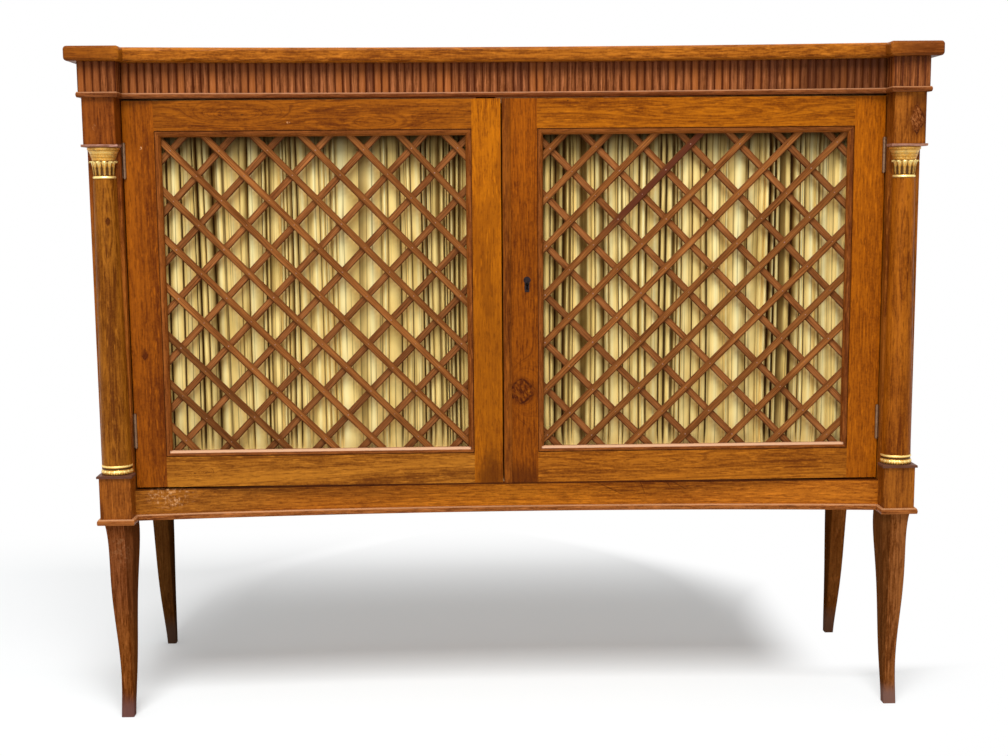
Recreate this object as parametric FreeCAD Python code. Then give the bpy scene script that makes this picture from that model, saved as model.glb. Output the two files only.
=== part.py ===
import FreeCAD, Part
import math
import os

V = FreeCAD.Vector

# All sizes are in millimetres. The front faces -Y, +X is to the right, Z is up from the floor.

# Overall size
overall_width = 1320.0
overall_height = 1044.0
overall_depth = 420.0

# Plan of the carcase
top_overhang_side = 21.0
top_overhang_front = 14.5
top_overhang_back = 5.0
post_width = 49.0
post_depth = 62.0
back_post_width = 40.0
back_post_depth = 36.0
front_hollow = 31.0
frieze_step = 34.0
base_step = 32.0
rail_depth_at_middle = 25.0
post_edge_radius = 1.2

# Levels, from the floor up
leg_height = 314.0
base_moulding_height = 9.0
lower_block_height = 65.0
pad_thickness = 4.0
column_base_height = 15.0
capital_height = 48.0
plate_thickness = 4.0
upper_block_height = 69.5
right_capital_drop = 8.0
frieze_moulding_height = 8.0
frieze_height = 45.0
top_thickness = 22.0
base_rail_height = 48.5

# Top board
top_block_width = 82.5
top_step = 29.0
top_edge_radius = 5.0
top_corner_radius = 4.0

# Reeding
reed_pitch = 12.0
reed_root = 1.8
reed_crown = 4.0

# Mouldings
frieze_bead_root = 5.2
frieze_bead_crown = 6.5
base_nosing_foot = 3.8
base_nosing_crown = 4.6
base_nosing_top = 2.8
mitre_reach = 12.0
hollow_stations = 25

# Columns
column_flat_offset = 2.0
column_bottom_radius = 23.0
column_top_radius = 17.5
plate_overhang = 3.0
plate_edge_radius = 1.5

# Legs
leg_corner_cut = 1.2
tenon_radius = 11.0
tenon_length = 35.0
tenon_clearance = 0.1

# Case boards
side_panel_thickness = 12.0
side_panel_recess = 6.0
case_rail_thickness = 22.0
back_rail_thickness = 18.0
back_panel_thickness = 8.0
back_panel_inset = 4.0
bottom_board_thickness = 18.0
board_clearance = 0.5
shelf_thickness = 16.0
shelf_top_level = 671.0
shelf_setback = 16.0
cleat_height = 22.0
cleat_width = 14.0
stop_depth = 9.0
stop_height = 9.0
stop_clearance = 0.6

# Doors
door_thickness = 22.0
door_setback = 54.0
door_side_gap = 1.5
door_top_gap = 3.2
door_bottom_gap = 3.0
meeting_line = -8.0
meeting_gap = 2.0
hinge_stile_width = 48.0
left_meeting_stile_width = 45.0
right_meeting_stile_width = 54.0
top_rail_width = 45.5
bottom_rail_width = 48.0
door_tenon_length = 22.0
door_tenon_thickness = 7.0
door_tenon_shoulder = 6.0
joint_clearance = 0.1
door_edge_radius = 0.9
closing_bead_width = 12.5
closing_bead_edge = 1.8
closing_bead_crown = 3.8

# Opening moulding of the doors
opening_moulding_width = 9.5
opening_moulding_depth = 9.5
opening_quirk_width = 1.5
opening_quirk_depth = 2.0
opening_bead_depth = 0.3
opening_lip_depth = 7.0
opening_bead_mid_width = 6.6
opening_bead_mid_depth = 2.3

# Lattice
slat_width = 10.8
slat_thickness = 3.5
slat_pitch = 73.4
slat_end_clearance = 0.2

# Slats set by hand: the middle of each in slat pitches from the opening's middle, and its slope in diagonals
left_rising_shares = ((-5.99, 1.020), (-4.87, 0.990), (-3.89, 1.000), (-2.89, 1.005), (-1.87, 1.000),
                      (-0.88, 1.000), (0.09, 1.000), (1.10, 1.000), (2.10, 1.005), (3.11, 1.005),
                      (4.11, 1.010), (5.10, 1.010), (6.10, 1.010))
left_falling_shares = ((-5.95, 1.020), (-5.08, 1.040), (-4.06, 1.050), (-3.01, 1.040), (-1.99, 1.035),
                       (-0.99, 1.040), (0.00, 1.030), (1.00, 1.030), (1.99, 1.020), (2.98, 1.015),
                       (3.98, 1.010), (4.89, 0.970), (5.95, 1.000))
right_rising_shares = ((-6.08, 1.020), (-5.14, 1.020), (-4.13, 1.015), (-3.13, 1.005), (-2.12, 1.020),
                       (-1.09, 1.020), (-0.07, 1.020), (0.93, 1.030), (1.95, 1.030), (2.97, 1.030),
                       (4.01, 1.030), (5.06, 1.035), (6.09, 1.020))
right_falling_shares = ((-6.17, 1.000), (-5.18, 0.985), (-4.29, 1.030), (-3.26, 1.025), (-2.21, 1.010),
                        (-1.18, 1.010), (-0.14, 1.000), (0.89, 1.005), (1.89, 1.005), (2.92, 1.000),
                        (3.96, 1.000), (5.06, 1.030), (6.12, 1.020))

# Curtains, rods and eyes
rod_radius = 2.5
rod_setback = 6.5
rod_lap = 11.0
curtain_lap = 6.0
curtain_thickness = 1.6
curtain_fold = 3.9
curtain_clearance = 0.3
eye_width = 6.0
eye_height = 10.0
eye_clearance = 0.1

# Butt hinges
hinge_length = 52.0
hinge_end_distance = 64.5
knuckle_radius = 2.8
knuckle_clearance = 0.25
knuckle_share = 0.33
knuckle_end_gap = 0.3
knuckle_notch_gap = 0.3
hinge_axis_forward = 1.5
leaf_thickness = 1.3
leaf_width = 20.5
leaf_start = 3.5
leaf_bridge = 1.5
pin_radius = 1.2
pin_clearance = 0.15
pin_head_radius = 2.1
pin_head_height = 1.4
screw_head_radius = 3.0
screw_radius = 1.6
screw_length = 13.0
screw_clearance = 0.1
screw_end_distance = 9.0

# Lock, keyhole and strike
keyhole_x = 30.4
keyhole_level = 680.0
escutcheon_radius = 5.5
escutcheon_height = 24.0
escutcheon_foot_width = 7.0
escutcheon_thickness = 1.6
escutcheon_proud = 0.4
keyhole_radius = 2.6
keyhole_slot_width = 2.4
keyhole_slot_length = 9.0
lock_width = 47.0
lock_height = 62.0
lock_depth = 12.0
lock_wall = 1.5
lock_bolt_length = 28.0
lock_bolt_height = 18.0
lock_bolt_thickness = 6.0
lock_bolt_rest = 0.3
lock_bolt_travel = 9.0
bolt_clearance = 0.35
strike_thickness = 1.5
strike_height = 40.0
strike_pocket_spare = 2.0

# Slide bolts of the left door
slide_bolt_size = 6.0
slide_bolt_length = 120.0
slide_bolt_offset = 10.0
slide_bolt_rest = 0.5
slide_bolt_travel = 9.0
bolt_plate_width = 15.0
bolt_plate_length = 100.0
bolt_plate_thickness = 1.5
bolt_plate_end = 14.0
staple_height = 9.0
staple_wall = 2.5
bolt_knob_radius = 3.2
bolt_knob_length = 9.0
keeper_width = 20.0
keeper_depth = 14.0
keeper_thickness = 1.5
socket_spare = 1.5

# Planes in X
half_width = overall_width / 2
post_outer = half_width - top_overhang_side
post_inner = post_outer - post_width
back_post_inner = post_outer - back_post_width
column_x = (post_outer + post_inner) / 2
side_panel_outer = post_outer - side_panel_recess
side_panel_inner = side_panel_outer - side_panel_thickness
case_rail_inner = post_outer - case_rail_thickness

# Planes in Y
top_front = -overall_depth / 2
post_front = top_front + top_overhang_front
post_back = post_front + post_depth
carcase_back = overall_depth / 2 - top_overhang_back
back_post_front = carcase_back - back_post_depth
frieze_end_y = post_front + frieze_step
base_end_y = post_front + base_step
front_rail_back = frieze_end_y + front_hollow + rail_depth_at_middle
column_y = post_front + post_width / 2
column_flat_y = column_y + column_flat_offset
door_front = top_front + door_setback
door_back = door_front + door_thickness
back_panel_back = carcase_back - back_panel_inset
back_panel_front = back_panel_back - back_panel_thickness
back_rail_front = back_panel_front - back_rail_thickness

# Levels in Z
base_moulding_top = leg_height + base_moulding_height
lower_block_top = base_moulding_top + lower_block_height
pad_top = lower_block_top + pad_thickness
column_bottom = pad_top + column_base_height
base_rail_top = leg_height + base_rail_height
top_underside = overall_height - top_thickness
frieze_bottom = top_underside - frieze_height
front_rail_bottom = frieze_bottom - frieze_moulding_height
plate_top = front_rail_bottom - upper_block_height
door_top = front_rail_bottom - door_top_gap
door_bottom = base_rail_top + door_bottom_gap
opening_top = door_top - top_rail_width
opening_bottom = door_bottom + bottom_rail_width
hinge_levels = (door_bottom + hinge_end_distance + hinge_length / 2,
                door_top - hinge_end_distance - hinge_length / 2)

# Door edges and openings, in X
door_outer = post_inner - door_side_gap
left_meeting_edge = meeting_line - meeting_gap / 2
right_meeting_edge = meeting_line + meeting_gap / 2
left_opening = (-door_outer + hinge_stile_width, left_meeting_edge - left_meeting_stile_width)
right_opening = (right_meeting_edge + right_meeting_stile_width, door_outer - hinge_stile_width)

# Hinge axis of the right door; the left one is its mirror image
hinge_axis_x = post_inner - knuckle_radius - knuckle_clearance
hinge_axis_y = door_front - hinge_axis_forward

# Front leg sections: share of the leg height, then shares of the post's width measured from its
# outer face to the leg's outer and inner faces, then shares of its depth from its front face
front_leg_shares = ((0.00, 0.370, 0.776, 0.085, 0.368),
                    (0.10, 0.398, 0.806, 0.100, 0.398),
                    (0.23, 0.408, 0.847, 0.115, 0.485),
                    (0.42, 0.339, 0.878, 0.100, 0.600),
                    (0.68, 0.224, 0.918, 0.065, 0.770),
                    (1.00, 0.112, 0.960, 0.048, 0.960))

# Back leg sections, measured the same way from the outer and the back face of the back post
back_leg_shares = ((0.00, 0.487, 0.875, -0.125, 0.320),
                   (0.10, 0.430, 0.885, -0.100, 0.390),
                   (0.23, 0.335, 0.895, -0.050, 0.514),
                   (0.42, 0.230, 0.915, 0.000, 0.667),
                   (0.68, 0.150, 0.945, 0.030, 0.820),
                   (1.00, 0.062, 0.960, 0.040, 0.955))

# Capital outline: radius as a share of half the post width, height as a share of the capital.
# Each row is a line to a point, or an arc through one point to the next.
capital_start_shares = (0.630, 0.00)
capital_outline_shares = (((0.720, 0.057), (0.630, 0.115)),
                          ((0.690, 0.340), (0.815, 0.520)),
                          ((0.835, 0.565), (0.800, 0.610)),
                          ((0.745, 0.640),),
                          ((0.775, 0.740), (0.900, 0.830)),
                          ((0.945, 0.860), (0.930, 0.895)),
                          ((1.000, 0.905),),
                          ((1.000, 1.000),))

# Column base outline, in the same way: a torus, a small hollow and a ring
column_base_start_shares = (0.950, 0.00)
column_base_outline_shares = (((0.995, 0.260), (0.950, 0.520)),
                              ((0.910, 0.600), (0.930, 0.680)),
                              ((0.965, 0.830), (0.930, 1.000)))

# Width and depth shares of each half fold of the curtains, from the left edge
curtain_fold_shares = ((1.00, 0.90), (0.80, 0.75), (1.20, 1.00), (0.70, 0.70), (0.90, 0.85),
                       (1.30, 1.00), (0.75, 0.65), (1.05, 0.90), (0.85, 0.80), (1.25, 0.95),
                       (0.70, 0.60), (1.10, 1.00), (0.95, 0.75), (0.80, 0.85), (1.35, 1.00),
                       (0.90, 0.70), (0.75, 0.80), (1.15, 0.95), (1.00, 0.85), (0.80, 0.65),
                       (1.20, 1.00), (0.85, 0.80), (0.95, 0.90), (1.30, 1.00), (0.70, 0.65),
                       (1.05, 0.85), (0.90, 0.95), (1.10, 0.75), (0.80, 0.90), (1.00, 0.80),
                       (1.25, 1.00), (0.75, 0.70))

# Shares of the fold depth at the top, the middle and the bottom of a curtain
curtain_level_shares = (0.80, 1.00, 0.85)

UP = V(0, 0, 1)
FRONT = V(0, -1, 0)
SIDES = ((-1, "left"), (1, "right"))


def box(x0, x1, y0, y1, z0, z1):
    return Part.makeBox(x1 - x0, y1 - y0, z1 - z0, V(x0, y0, z0))


def side_box(side, x_inner, x_outer, y0, y1, z0, z1):
    # A box given for the right half, placed on the side asked for
    if side > 0:
        return box(x_inner, x_outer, y0, y1, z0, z1)
    return box(-x_outer, -x_inner, y0, y1, z0, z1)


def cylinder(x, y, z0, z1, radius):
    return Part.makeCylinder(radius, z1 - z0, V(x, y, z0), UP)


def write(name, *solids):
    for solid in solids:
        if not solid.isValid():
            raise ValueError("invalid solid in " + name)
    shape = solids[0] if len(solids) == 1 else Part.Compound(list(solids))
    shape.exportStep("parts/" + name + ".step")


def line(a, b):
    return Part.makeLine(a, b)


def arc(a, b, c):
    return Part.Arc(a, b, c).toShape()


def polygon_face(points):
    return Part.Face(Part.makePolygon(list(points) + [points[0]]))


def trim(shape, point, normal):
    # Cut away all that lies beyond a plane, on the side its normal points to
    reach = 2 * overall_width
    tool = Part.makeBox(reach, reach, reach, V(0, -reach / 2, -reach / 2))
    tool.Placement = FreeCAD.Placement(point, FreeCAD.Rotation(V(1, 0, 0), normal)).multiply(tool.Placement)
    return shape.cut(tool)


def round_upright(block, x, y, radius):
    # Round the upright edge that stands at x and y
    edges = []
    for edge in block.Edges:
        span = edge.BoundBox
        upright = span.ZLength > span.XLength + span.YLength
        if upright and abs(span.Center.x - x) < radius and abs(span.Center.y - y) < radius:
            edges.append(edge)
    return block.makeFillet(radius, edges)


# Hollow front: the frieze, the base rail and the top share one way of finding their arc

def hollow_circle(half_chord, end_y):
    radius = (half_chord ** 2 + front_hollow ** 2) / (2 * front_hollow)
    return V(0, end_y + front_hollow - radius, 0), radius


def hollow_rail(end_y, z0, z1):
    left = V(-post_inner, end_y, z0)
    middle = V(0, end_y + front_hollow, z0)
    right = V(post_inner, end_y, z0)
    back_right = V(post_inner, front_rail_back, z0)
    back_left = V(-post_inner, front_rail_back, z0)
    wire = Part.Wire([arc(left, middle, right), line(right, back_right),
                      line(back_right, back_left), line(back_left, left)])
    return Part.Face(wire).extrude(V(0, 0, z1 - z0))


# Top board

def make_top_board():
    z0 = top_underside
    block_inner = half_width - top_block_width
    main_y = top_front + top_step
    back_y = overall_depth / 2
    left = [V(-block_inner, main_y, z0), V(-block_inner, top_front, z0), V(-half_width, top_front, z0),
            V(-half_width, back_y, z0)]
    right = [V(half_width, back_y, z0), V(half_width, top_front, z0), V(block_inner, top_front, z0),
             V(block_inner, main_y, z0)]
    points = left + right
    edges = [line(a, b) for a, b in zip(points, points[1:])]
    edges.append(arc(right[-1], V(0, main_y + front_hollow, z0), left[0]))
    board = Part.Face(Part.Wire(edges)).extrude(V(0, 0, top_thickness))
    corners = []
    for edge in board.Edges:
        upright = abs(edge.Vertexes[0].Z - edge.Vertexes[-1].Z) > top_thickness / 2
        if upright and edge.Vertexes[0].Y < top_front + top_corner_radius:
            corners.append(edge)
    board = board.makeFillet(top_corner_radius, corners)
    rims = []
    for edge in board.Edges:
        level = edge.BoundBox.ZLength < top_edge_radius / 2
        if level and edge.BoundBox.YMin < back_y - top_edge_radius:
            rims.append(edge)
    return board.makeFillet(top_edge_radius, rims)


# Reeding

def reeded_strip(start, end, outward, z0, z1):
    # Half-round reeds between two points of the carrying face
    length = (end - start).Length
    count = max(1, round(length / reed_pitch))
    step = (end - start) / count
    root = outward * reed_root
    edges = [line(start, start + root)]
    for i in range(count):
        a = start + step * i + root
        b = start + step * (i + 1) + root
        crest = start + step * i + step / 2 + outward * reed_crown
        edges.append(arc(a, crest, b))
    edges.append(line(end + root, end))
    edges.append(line(end, start))
    wire = Part.Wire(edges)
    wire.translate(V(0, 0, z0))
    return Part.Face(wire).extrude(V(0, 0, z1 - z0))


def reeded_hollow(half_length, z0, z1):
    # The same reeds along the hollow front, square to its circle
    centre, radius = hollow_circle(post_inner, frieze_end_y)
    half_angle = math.asin(half_length / radius)
    count = round(2 * half_length / reed_pitch)

    def on_circle(share, r):
        angle = half_angle * (2 * share - 1)
        return centre + V(r * math.sin(angle), r * math.cos(angle), z0)

    root_radius = radius - reed_root
    crest_radius = radius - reed_crown
    edges = [line(on_circle(0, radius), on_circle(0, root_radius))]
    for i in range(count):
        crest = on_circle((i + 0.5) / count, crest_radius)
        edges.append(arc(on_circle(i / count, root_radius), crest, on_circle((i + 1) / count, root_radius)))
    edges.append(line(on_circle(1, root_radius), on_circle(1, radius)))
    edges.append(arc(on_circle(1, radius), on_circle(0.5, radius), on_circle(0, radius)))
    return Part.Face(Part.Wire(edges)).extrude(V(0, 0, z1 - z0))


# Mouldings: a profile is drawn with its first size along the outward direction and its second
# along a rise direction, then run along each side and trimmed on the mitre planes

def frieze_bead_profile(at):
    corners = [at(0, 0), at(frieze_bead_root, 0), at(frieze_bead_root, frieze_moulding_height),
               at(0, frieze_moulding_height)]
    crest = at(frieze_bead_crown, frieze_moulding_height / 2)
    return [line(corners[0], corners[1]), arc(corners[1], crest, corners[2]),
            line(corners[2], corners[3]), line(corners[3], corners[0])]


def base_nosing_profile(at):
    corners = [at(0, 0), at(base_nosing_foot, 0), at(base_nosing_top, base_moulding_height),
               at(0, base_moulding_height)]
    crest = at(base_nosing_crown, base_moulding_height / 2)
    return [line(corners[0], corners[1]), arc(corners[1], crest, corners[2]),
            line(corners[2], corners[3]), line(corners[3], corners[0])]


def opening_profile(at):
    corners = [at(0, opening_moulding_depth), at(0, opening_quirk_depth),
               at(opening_quirk_width, opening_quirk_depth), at(opening_quirk_width, opening_bead_depth),
               at(opening_moulding_width, opening_lip_depth),
               at(opening_moulding_width, opening_moulding_depth)]
    crest = at(opening_bead_mid_width, opening_bead_mid_depth)
    return [line(corners[0], corners[1]), line(corners[1], corners[2]), line(corners[2], corners[3]),
            arc(corners[3], crest, corners[4]), line(corners[4], corners[5]), line(corners[5], corners[0])]


def profile_wire(profile, origin, outward, rise):
    def at(out, up):
        return origin + outward * out + rise * up
    return Part.Wire(profile(at))


def mitre_plane(corner, along, outward, other_outward, rise):
    # The plane that holds the corner and the meeting line of both offsets; its normal points on
    normal = (outward + other_outward).cross(rise)
    normal.normalize()
    if normal.dot(along) < 0:
        normal = -normal
    return corner, normal


def moulding_strip(profile, start, end, outward, rise, before=None, after=None):
    along = end - start
    length = along.Length
    along.normalize()
    lead = mitre_reach if before is not None else 0
    tail = mitre_reach if after is not None else 0
    face = Part.Face(profile_wire(profile, start - along * lead, outward, rise))
    strip = face.extrude(along * (length + lead + tail))
    if before is not None:
        strip = trim(strip, *mitre_plane(start, -along, outward, before, rise))
    if after is not None:
        strip = trim(strip, *mitre_plane(end, along, outward, after, rise))
    return strip


def moulding_hollow(profile, end_y, z):
    # Along the hollow main front, through even stations on its circle
    centre, radius = hollow_circle(post_inner, end_y)
    half_angle = math.asin(post_inner / radius) + mitre_reach / radius
    wires = []
    for i in range(hollow_stations):
        angle = half_angle * (2 * i / (hollow_stations - 1) - 1)
        outward = V(-math.sin(angle), -math.cos(angle), 0)
        wires.append(profile_wire(profile, centre + V(0, 0, z) - outward * radius, outward, UP))
    strip = Part.makeLoft(wires, True, True)
    for side, _ in SIDES:
        corner = V(side * post_inner, end_y, z)
        outward = centre + V(0, 0, z) - corner
        outward.normalize()
        strip = trim(strip, *mitre_plane(corner, V(side, 0, 0), outward, V(-side, 0, 0), UP))
    return strip


def wrapped_moulding(profile, end_y, z):
    # Sides, corner blocks, their inner returns and the hollow front, in mitred lengths
    centre, radius = hollow_circle(post_inner, end_y)
    strips = [moulding_hollow(profile, end_y, z)]
    for side, _ in SIDES:
        outer = V(side, 0, 0)
        inner = V(-side, 0, 0)
        back = V(side * post_outer, carcase_back, z)
        front_outer = V(side * post_outer, post_front, z)
        front_inner = V(side * post_inner, post_front, z)
        hollow_end = V(side * post_inner, end_y, z)
        hollow_out = centre + V(0, 0, z) - hollow_end
        hollow_out.normalize()
        strips.append(moulding_strip(profile, back, front_outer, outer, UP, None, FRONT))
        strips.append(moulding_strip(profile, front_outer, front_inner, FRONT, UP, outer, inner))
        strips.append(moulding_strip(profile, front_inner, hollow_end, inner, UP, FRONT, hollow_out))
    return strips


# Columns, capitals, bases and plates

def drop_of(side):
    # The right capital and shaft end a little lower than the left ones
    return right_capital_drop if side > 0 else 0


def front_half(shape):
    return trim(shape, V(0, column_flat_y, 0), -FRONT)


def turned(start, rows, x, z, height):
    # A turned outline about the column's axis, in shares of half the post width and of the height
    unit = post_width / 2

    def at(pair):
        return V(x + pair[0] * unit, column_y, z + pair[1] * height)

    bottom = V(x, column_y, z)
    top = V(x, column_y, z + height)
    edges = [line(bottom, at(start))]
    here = at(start)
    for row in rows:
        if len(row) == 2:
            edges.append(arc(here, at(row[0]), at(row[1])))
        else:
            edges.append(line(here, at(row[0])))
        here = at(row[-1])
    edges.append(line(here, top))
    edges.append(line(top, bottom))
    solid = Part.Face(Part.Wire(edges)).revolve(bottom, UP, 360)
    return front_half(solid)


def make_column(side):
    x = side * column_x
    shaft_top = plate_top - plate_thickness - capital_height - drop_of(side)
    shaft = Part.makeCone(column_bottom_radius, column_top_radius, shaft_top - column_bottom,
                          V(x, column_y, column_bottom), UP)
    return front_half(shaft)


def make_capital(side):
    z = plate_top - plate_thickness - capital_height - drop_of(side)
    return turned(capital_start_shares, capital_outline_shares, side * column_x, z, capital_height)


def make_column_base(side):
    return turned(column_base_start_shares, column_base_outline_shares, side * column_x, pad_top,
                  column_base_height)


def make_plate(side, z, thickness, round_top):
    plate = side_box(side, post_inner - plate_overhang, post_outer + plate_overhang,
                     post_front - plate_overhang, column_flat_y, z, z + thickness)
    level = z + thickness if round_top else z
    edges = []
    for edge in plate.Edges:
        flat = edge.BoundBox.ZLength < plate_edge_radius and abs(edge.BoundBox.ZMax - level) < plate_edge_radius
        if flat and edge.BoundBox.YMin < column_flat_y - plate_edge_radius:
            edges.append(edge)
    return plate.makeFillet(plate_edge_radius, edges)


# Hinges

def knuckle_spans(level):
    low = level - hinge_length / 2
    high = level + hinge_length / 2
    end = hinge_length * knuckle_share
    return (low, low + end), (low + end + knuckle_end_gap, high - end - knuckle_end_gap), (high - end, high)


def screw_points(level):
    reach = hinge_length / 2 - screw_end_distance
    y = hinge_axis_y + leaf_start + (leaf_width - leaf_start) / 2
    return [(y, level + reach * k) for k in (-1, 0, 1)]


def screw_solids(side, level, face_x, into):
    # Flush head in the leaf and a shank in the wood, along X
    solids = []
    for y, z in screw_points(level):
        head = Part.makeCylinder(screw_head_radius, leaf_thickness, V(face_x, y, z), V(into, 0, 0))
        shank_x = face_x + into * leaf_thickness
        shank = Part.makeCylinder(screw_radius, screw_length, V(shank_x, y, z), V(into, 0, 0))
        solids.append(head.fuse(shank).removeSplitter())
    return solids


def screw_holes(level, face_x, into):
    holes = []
    for y, z in screw_points(level):
        holes.append(Part.makeCylinder(screw_head_radius + screw_clearance, leaf_thickness, V(face_x, y, z),
                                       V(into, 0, 0)))
        holes.append(Part.makeCylinder(screw_radius + screw_clearance, leaf_thickness + screw_length +
                                       screw_clearance, V(face_x, y, z), V(into, 0, 0)))
    return holes


def make_case_leaf(side, level):
    x = side * hinge_axis_x
    low, _, high = knuckle_spans(level)
    leaf = side_box(side, post_inner, post_inner + leaf_thickness, hinge_axis_y - leaf_bridge / 2,
                    hinge_axis_y + leaf_width, low[0], high[1])
    for span in (low, high):
        arm = side_box(side, hinge_axis_x, post_inner + leaf_thickness, hinge_axis_y - leaf_bridge / 2,
                       hinge_axis_y + leaf_bridge / 2, span[0], span[1])
        leaf = leaf.fuse(arm).fuse(cylinder(x, hinge_axis_y, span[0], span[1], knuckle_radius))
    leaf = leaf.cut(cylinder(x, hinge_axis_y, low[0], high[1], pin_radius + pin_clearance))
    for hole in screw_holes(level, side * post_inner, side):
        leaf = leaf.cut(hole)
    return leaf.removeSplitter()


def make_door_leaf(side, level):
    x = side * hinge_axis_x
    low, middle, high = knuckle_spans(level)
    leaf = side_box(side, door_outer - leaf_thickness, door_outer, hinge_axis_y + leaf_start,
                    hinge_axis_y + leaf_width, low[0], high[1])
    arm = side_box(side, door_outer - leaf_thickness, door_outer, hinge_axis_y, hinge_axis_y + leaf_start,
                   middle[0], middle[1])
    leaf = leaf.fuse(arm).fuse(cylinder(x, hinge_axis_y, middle[0], middle[1], knuckle_radius))
    leaf = leaf.cut(cylinder(x, hinge_axis_y, low[0], high[1], pin_radius + pin_clearance))
    for hole in screw_holes(level, side * door_outer, -side):
        leaf = leaf.cut(hole)
    return leaf.removeSplitter()


def make_pin(side, level):
    x = side * hinge_axis_x
    low = level - hinge_length / 2
    high = level + hinge_length / 2
    pin = cylinder(x, hinge_axis_y, low, high, pin_radius)
    pin = pin.fuse(cylinder(x, hinge_axis_y, high, high + pin_head_height, pin_head_radius))
    pin = pin.fuse(cylinder(x, hinge_axis_y, low - pin_head_height, low, pin_head_radius))
    return pin.removeSplitter()


def cut_all(shape, tools):
    for tool in tools:
        shape = shape.cut(tool)
    return shape


# Posts, rails, panels and boards

def make_front_post(side):
    post = side_box(side, post_inner, post_outer, post_front, post_back, leg_height, top_underside)
    for x in (post_inner, post_outer):
        post = round_upright(post, side * x, post_front, post_edge_radius)
    tools = [side_box(side, post_inner, post_outer, post_front, column_flat_y, lower_block_top,
                      plate_top - drop_of(side))]
    tools.append(cylinder(side * column_x, (post_front + post_back) / 2, leg_height,
                          leg_height + tenon_length + tenon_clearance, tenon_radius + tenon_clearance))
    for level in hinge_levels:
        tools.append(side_box(side, post_inner, post_inner + leaf_thickness, hinge_axis_y - leaf_bridge / 2,
                              hinge_axis_y + leaf_width, level - hinge_length / 2, level + hinge_length / 2))
        tools.extend(screw_holes(level, side * post_inner, side))
    return cut_all(post, tools)


def make_back_post(side):
    post = side_box(side, back_post_inner, post_outer, back_post_front, carcase_back, leg_height,
                    top_underside)
    hole = cylinder(side * (post_outer + back_post_inner) / 2, (back_post_front + carcase_back) / 2,
                    leg_height, leg_height + tenon_length + tenon_clearance, tenon_radius + tenon_clearance)
    return post.cut(hole)


def leg_section(x_outer, x_inner, y_outer, y_inner, z):
    # A rectangle with its arrises taken off
    c = leg_corner_cut
    x0, x1 = sorted((x_outer, x_inner))
    y0, y1 = sorted((y_outer, y_inner))
    points = [V(x0 + c, y0, z), V(x1 - c, y0, z), V(x1, y0 + c, z), V(x1, y1 - c, z),
              V(x1 - c, y1, z), V(x0 + c, y1, z), V(x0, y1 - c, z), V(x0, y0 + c, z)]
    return Part.makePolygon(points + [points[0]])


def make_leg(side, shares, width, depth, face_y, inward, tenon_x, tenon_y):
    wires = []
    for height, outer, inner, near, far in shares:
        wires.append(leg_section(side * (post_outer - outer * width), side * (post_outer - inner * width),
                                 face_y + inward * near * depth, face_y + inward * far * depth,
                                 height * leg_height))
    leg = Part.makeLoft(wires, True, False)
    return leg.fuse(cylinder(tenon_x, tenon_y, leg_height, leg_height + tenon_length, tenon_radius))


def make_front_leg(side):
    return make_leg(side, front_leg_shares, post_width, post_depth, post_front, 1, side * column_x,
                    (post_front + post_back) / 2)


def make_back_leg(side):
    return make_leg(side, back_leg_shares, back_post_width, back_post_depth, carcase_back, -1,
                    side * (post_outer + back_post_inner) / 2, (back_post_front + carcase_back) / 2)


def make_case_rails():
    rails = []
    for side, _ in SIDES:
        for z0, z1 in ((front_rail_bottom, top_underside), (leg_height, base_rail_top)):
            rails.append(side_box(side, case_rail_inner, post_outer, post_back, back_post_front, z0, z1))
    for z0, z1 in ((front_rail_bottom, top_underside), (leg_height, base_rail_top)):
        rails.append(box(-back_post_inner, back_post_inner, back_rail_front, back_panel_front, z0, z1))
    return rails


def make_side_panel(side):
    return side_box(side, side_panel_inner, side_panel_outer, post_back, back_post_front, base_rail_top,
                    front_rail_bottom)


def make_bottom_board():
    # It fills the case inside the rails, notched round the posts
    board = box(-case_rail_inner, case_rail_inner, front_rail_back, back_rail_front,
                base_rail_top - bottom_board_thickness, base_rail_top)
    corners = [side_box(side, back_post_inner, post_outer, back_post_front, carcase_back, leg_height,
                        top_underside) for side, _ in SIDES]
    return cut_all(board, corners)


def make_shelf():
    inner = side_panel_inner - board_clearance
    shelf = box(-inner, inner, front_rail_back + shelf_setback, back_panel_front - board_clearance,
                shelf_top_level - shelf_thickness, shelf_top_level)
    corners = [side_box(side, back_post_inner - board_clearance, post_outer, back_post_front -
                        board_clearance, carcase_back, leg_height, top_underside) for side, _ in SIDES]
    return cut_all(shelf, corners)


def make_cleat(side):
    z1 = shelf_top_level - shelf_thickness
    return side_box(side, side_panel_inner - cleat_width, side_panel_inner, front_rail_back + shelf_setback,
                    back_post_front, z1 - cleat_height, z1)


def make_stops():
    stops = []
    clear = bolt_plate_width
    bolt_x = slide_bolt_x()
    y0 = door_back + stop_clearance
    for z0 in (base_rail_top, front_rail_bottom - stop_height):
        stops.append(box(-post_inner, bolt_x - clear, y0, y0 + stop_depth, z0, z0 + stop_height))
        stops.append(box(bolt_x + clear, post_inner, y0, y0 + stop_depth, z0, z0 + stop_height))
    return stops


# Doors

def door_tenon(x0, x1, z0, z1, grow):
    y = (door_front + door_back) / 2
    half = door_tenon_thickness / 2 + grow
    return box(x0 - grow, x1 + grow, y - half, y + half, z0 + door_tenon_shoulder - grow,
               z1 - door_tenon_shoulder + grow)


def rail_spans():
    return ((door_bottom, opening_bottom), (opening_top, door_top))


def make_door_rails(opening):
    rails = []
    for z0, z1 in rail_spans():
        rail = box(opening[0], opening[1], door_front, door_back, z0, z1)
        rails.append(rail.fuse(door_tenon(opening[0] - door_tenon_length, opening[1] + door_tenon_length,
                                          z0, z1, 0)).removeSplitter())
    return rails


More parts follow.
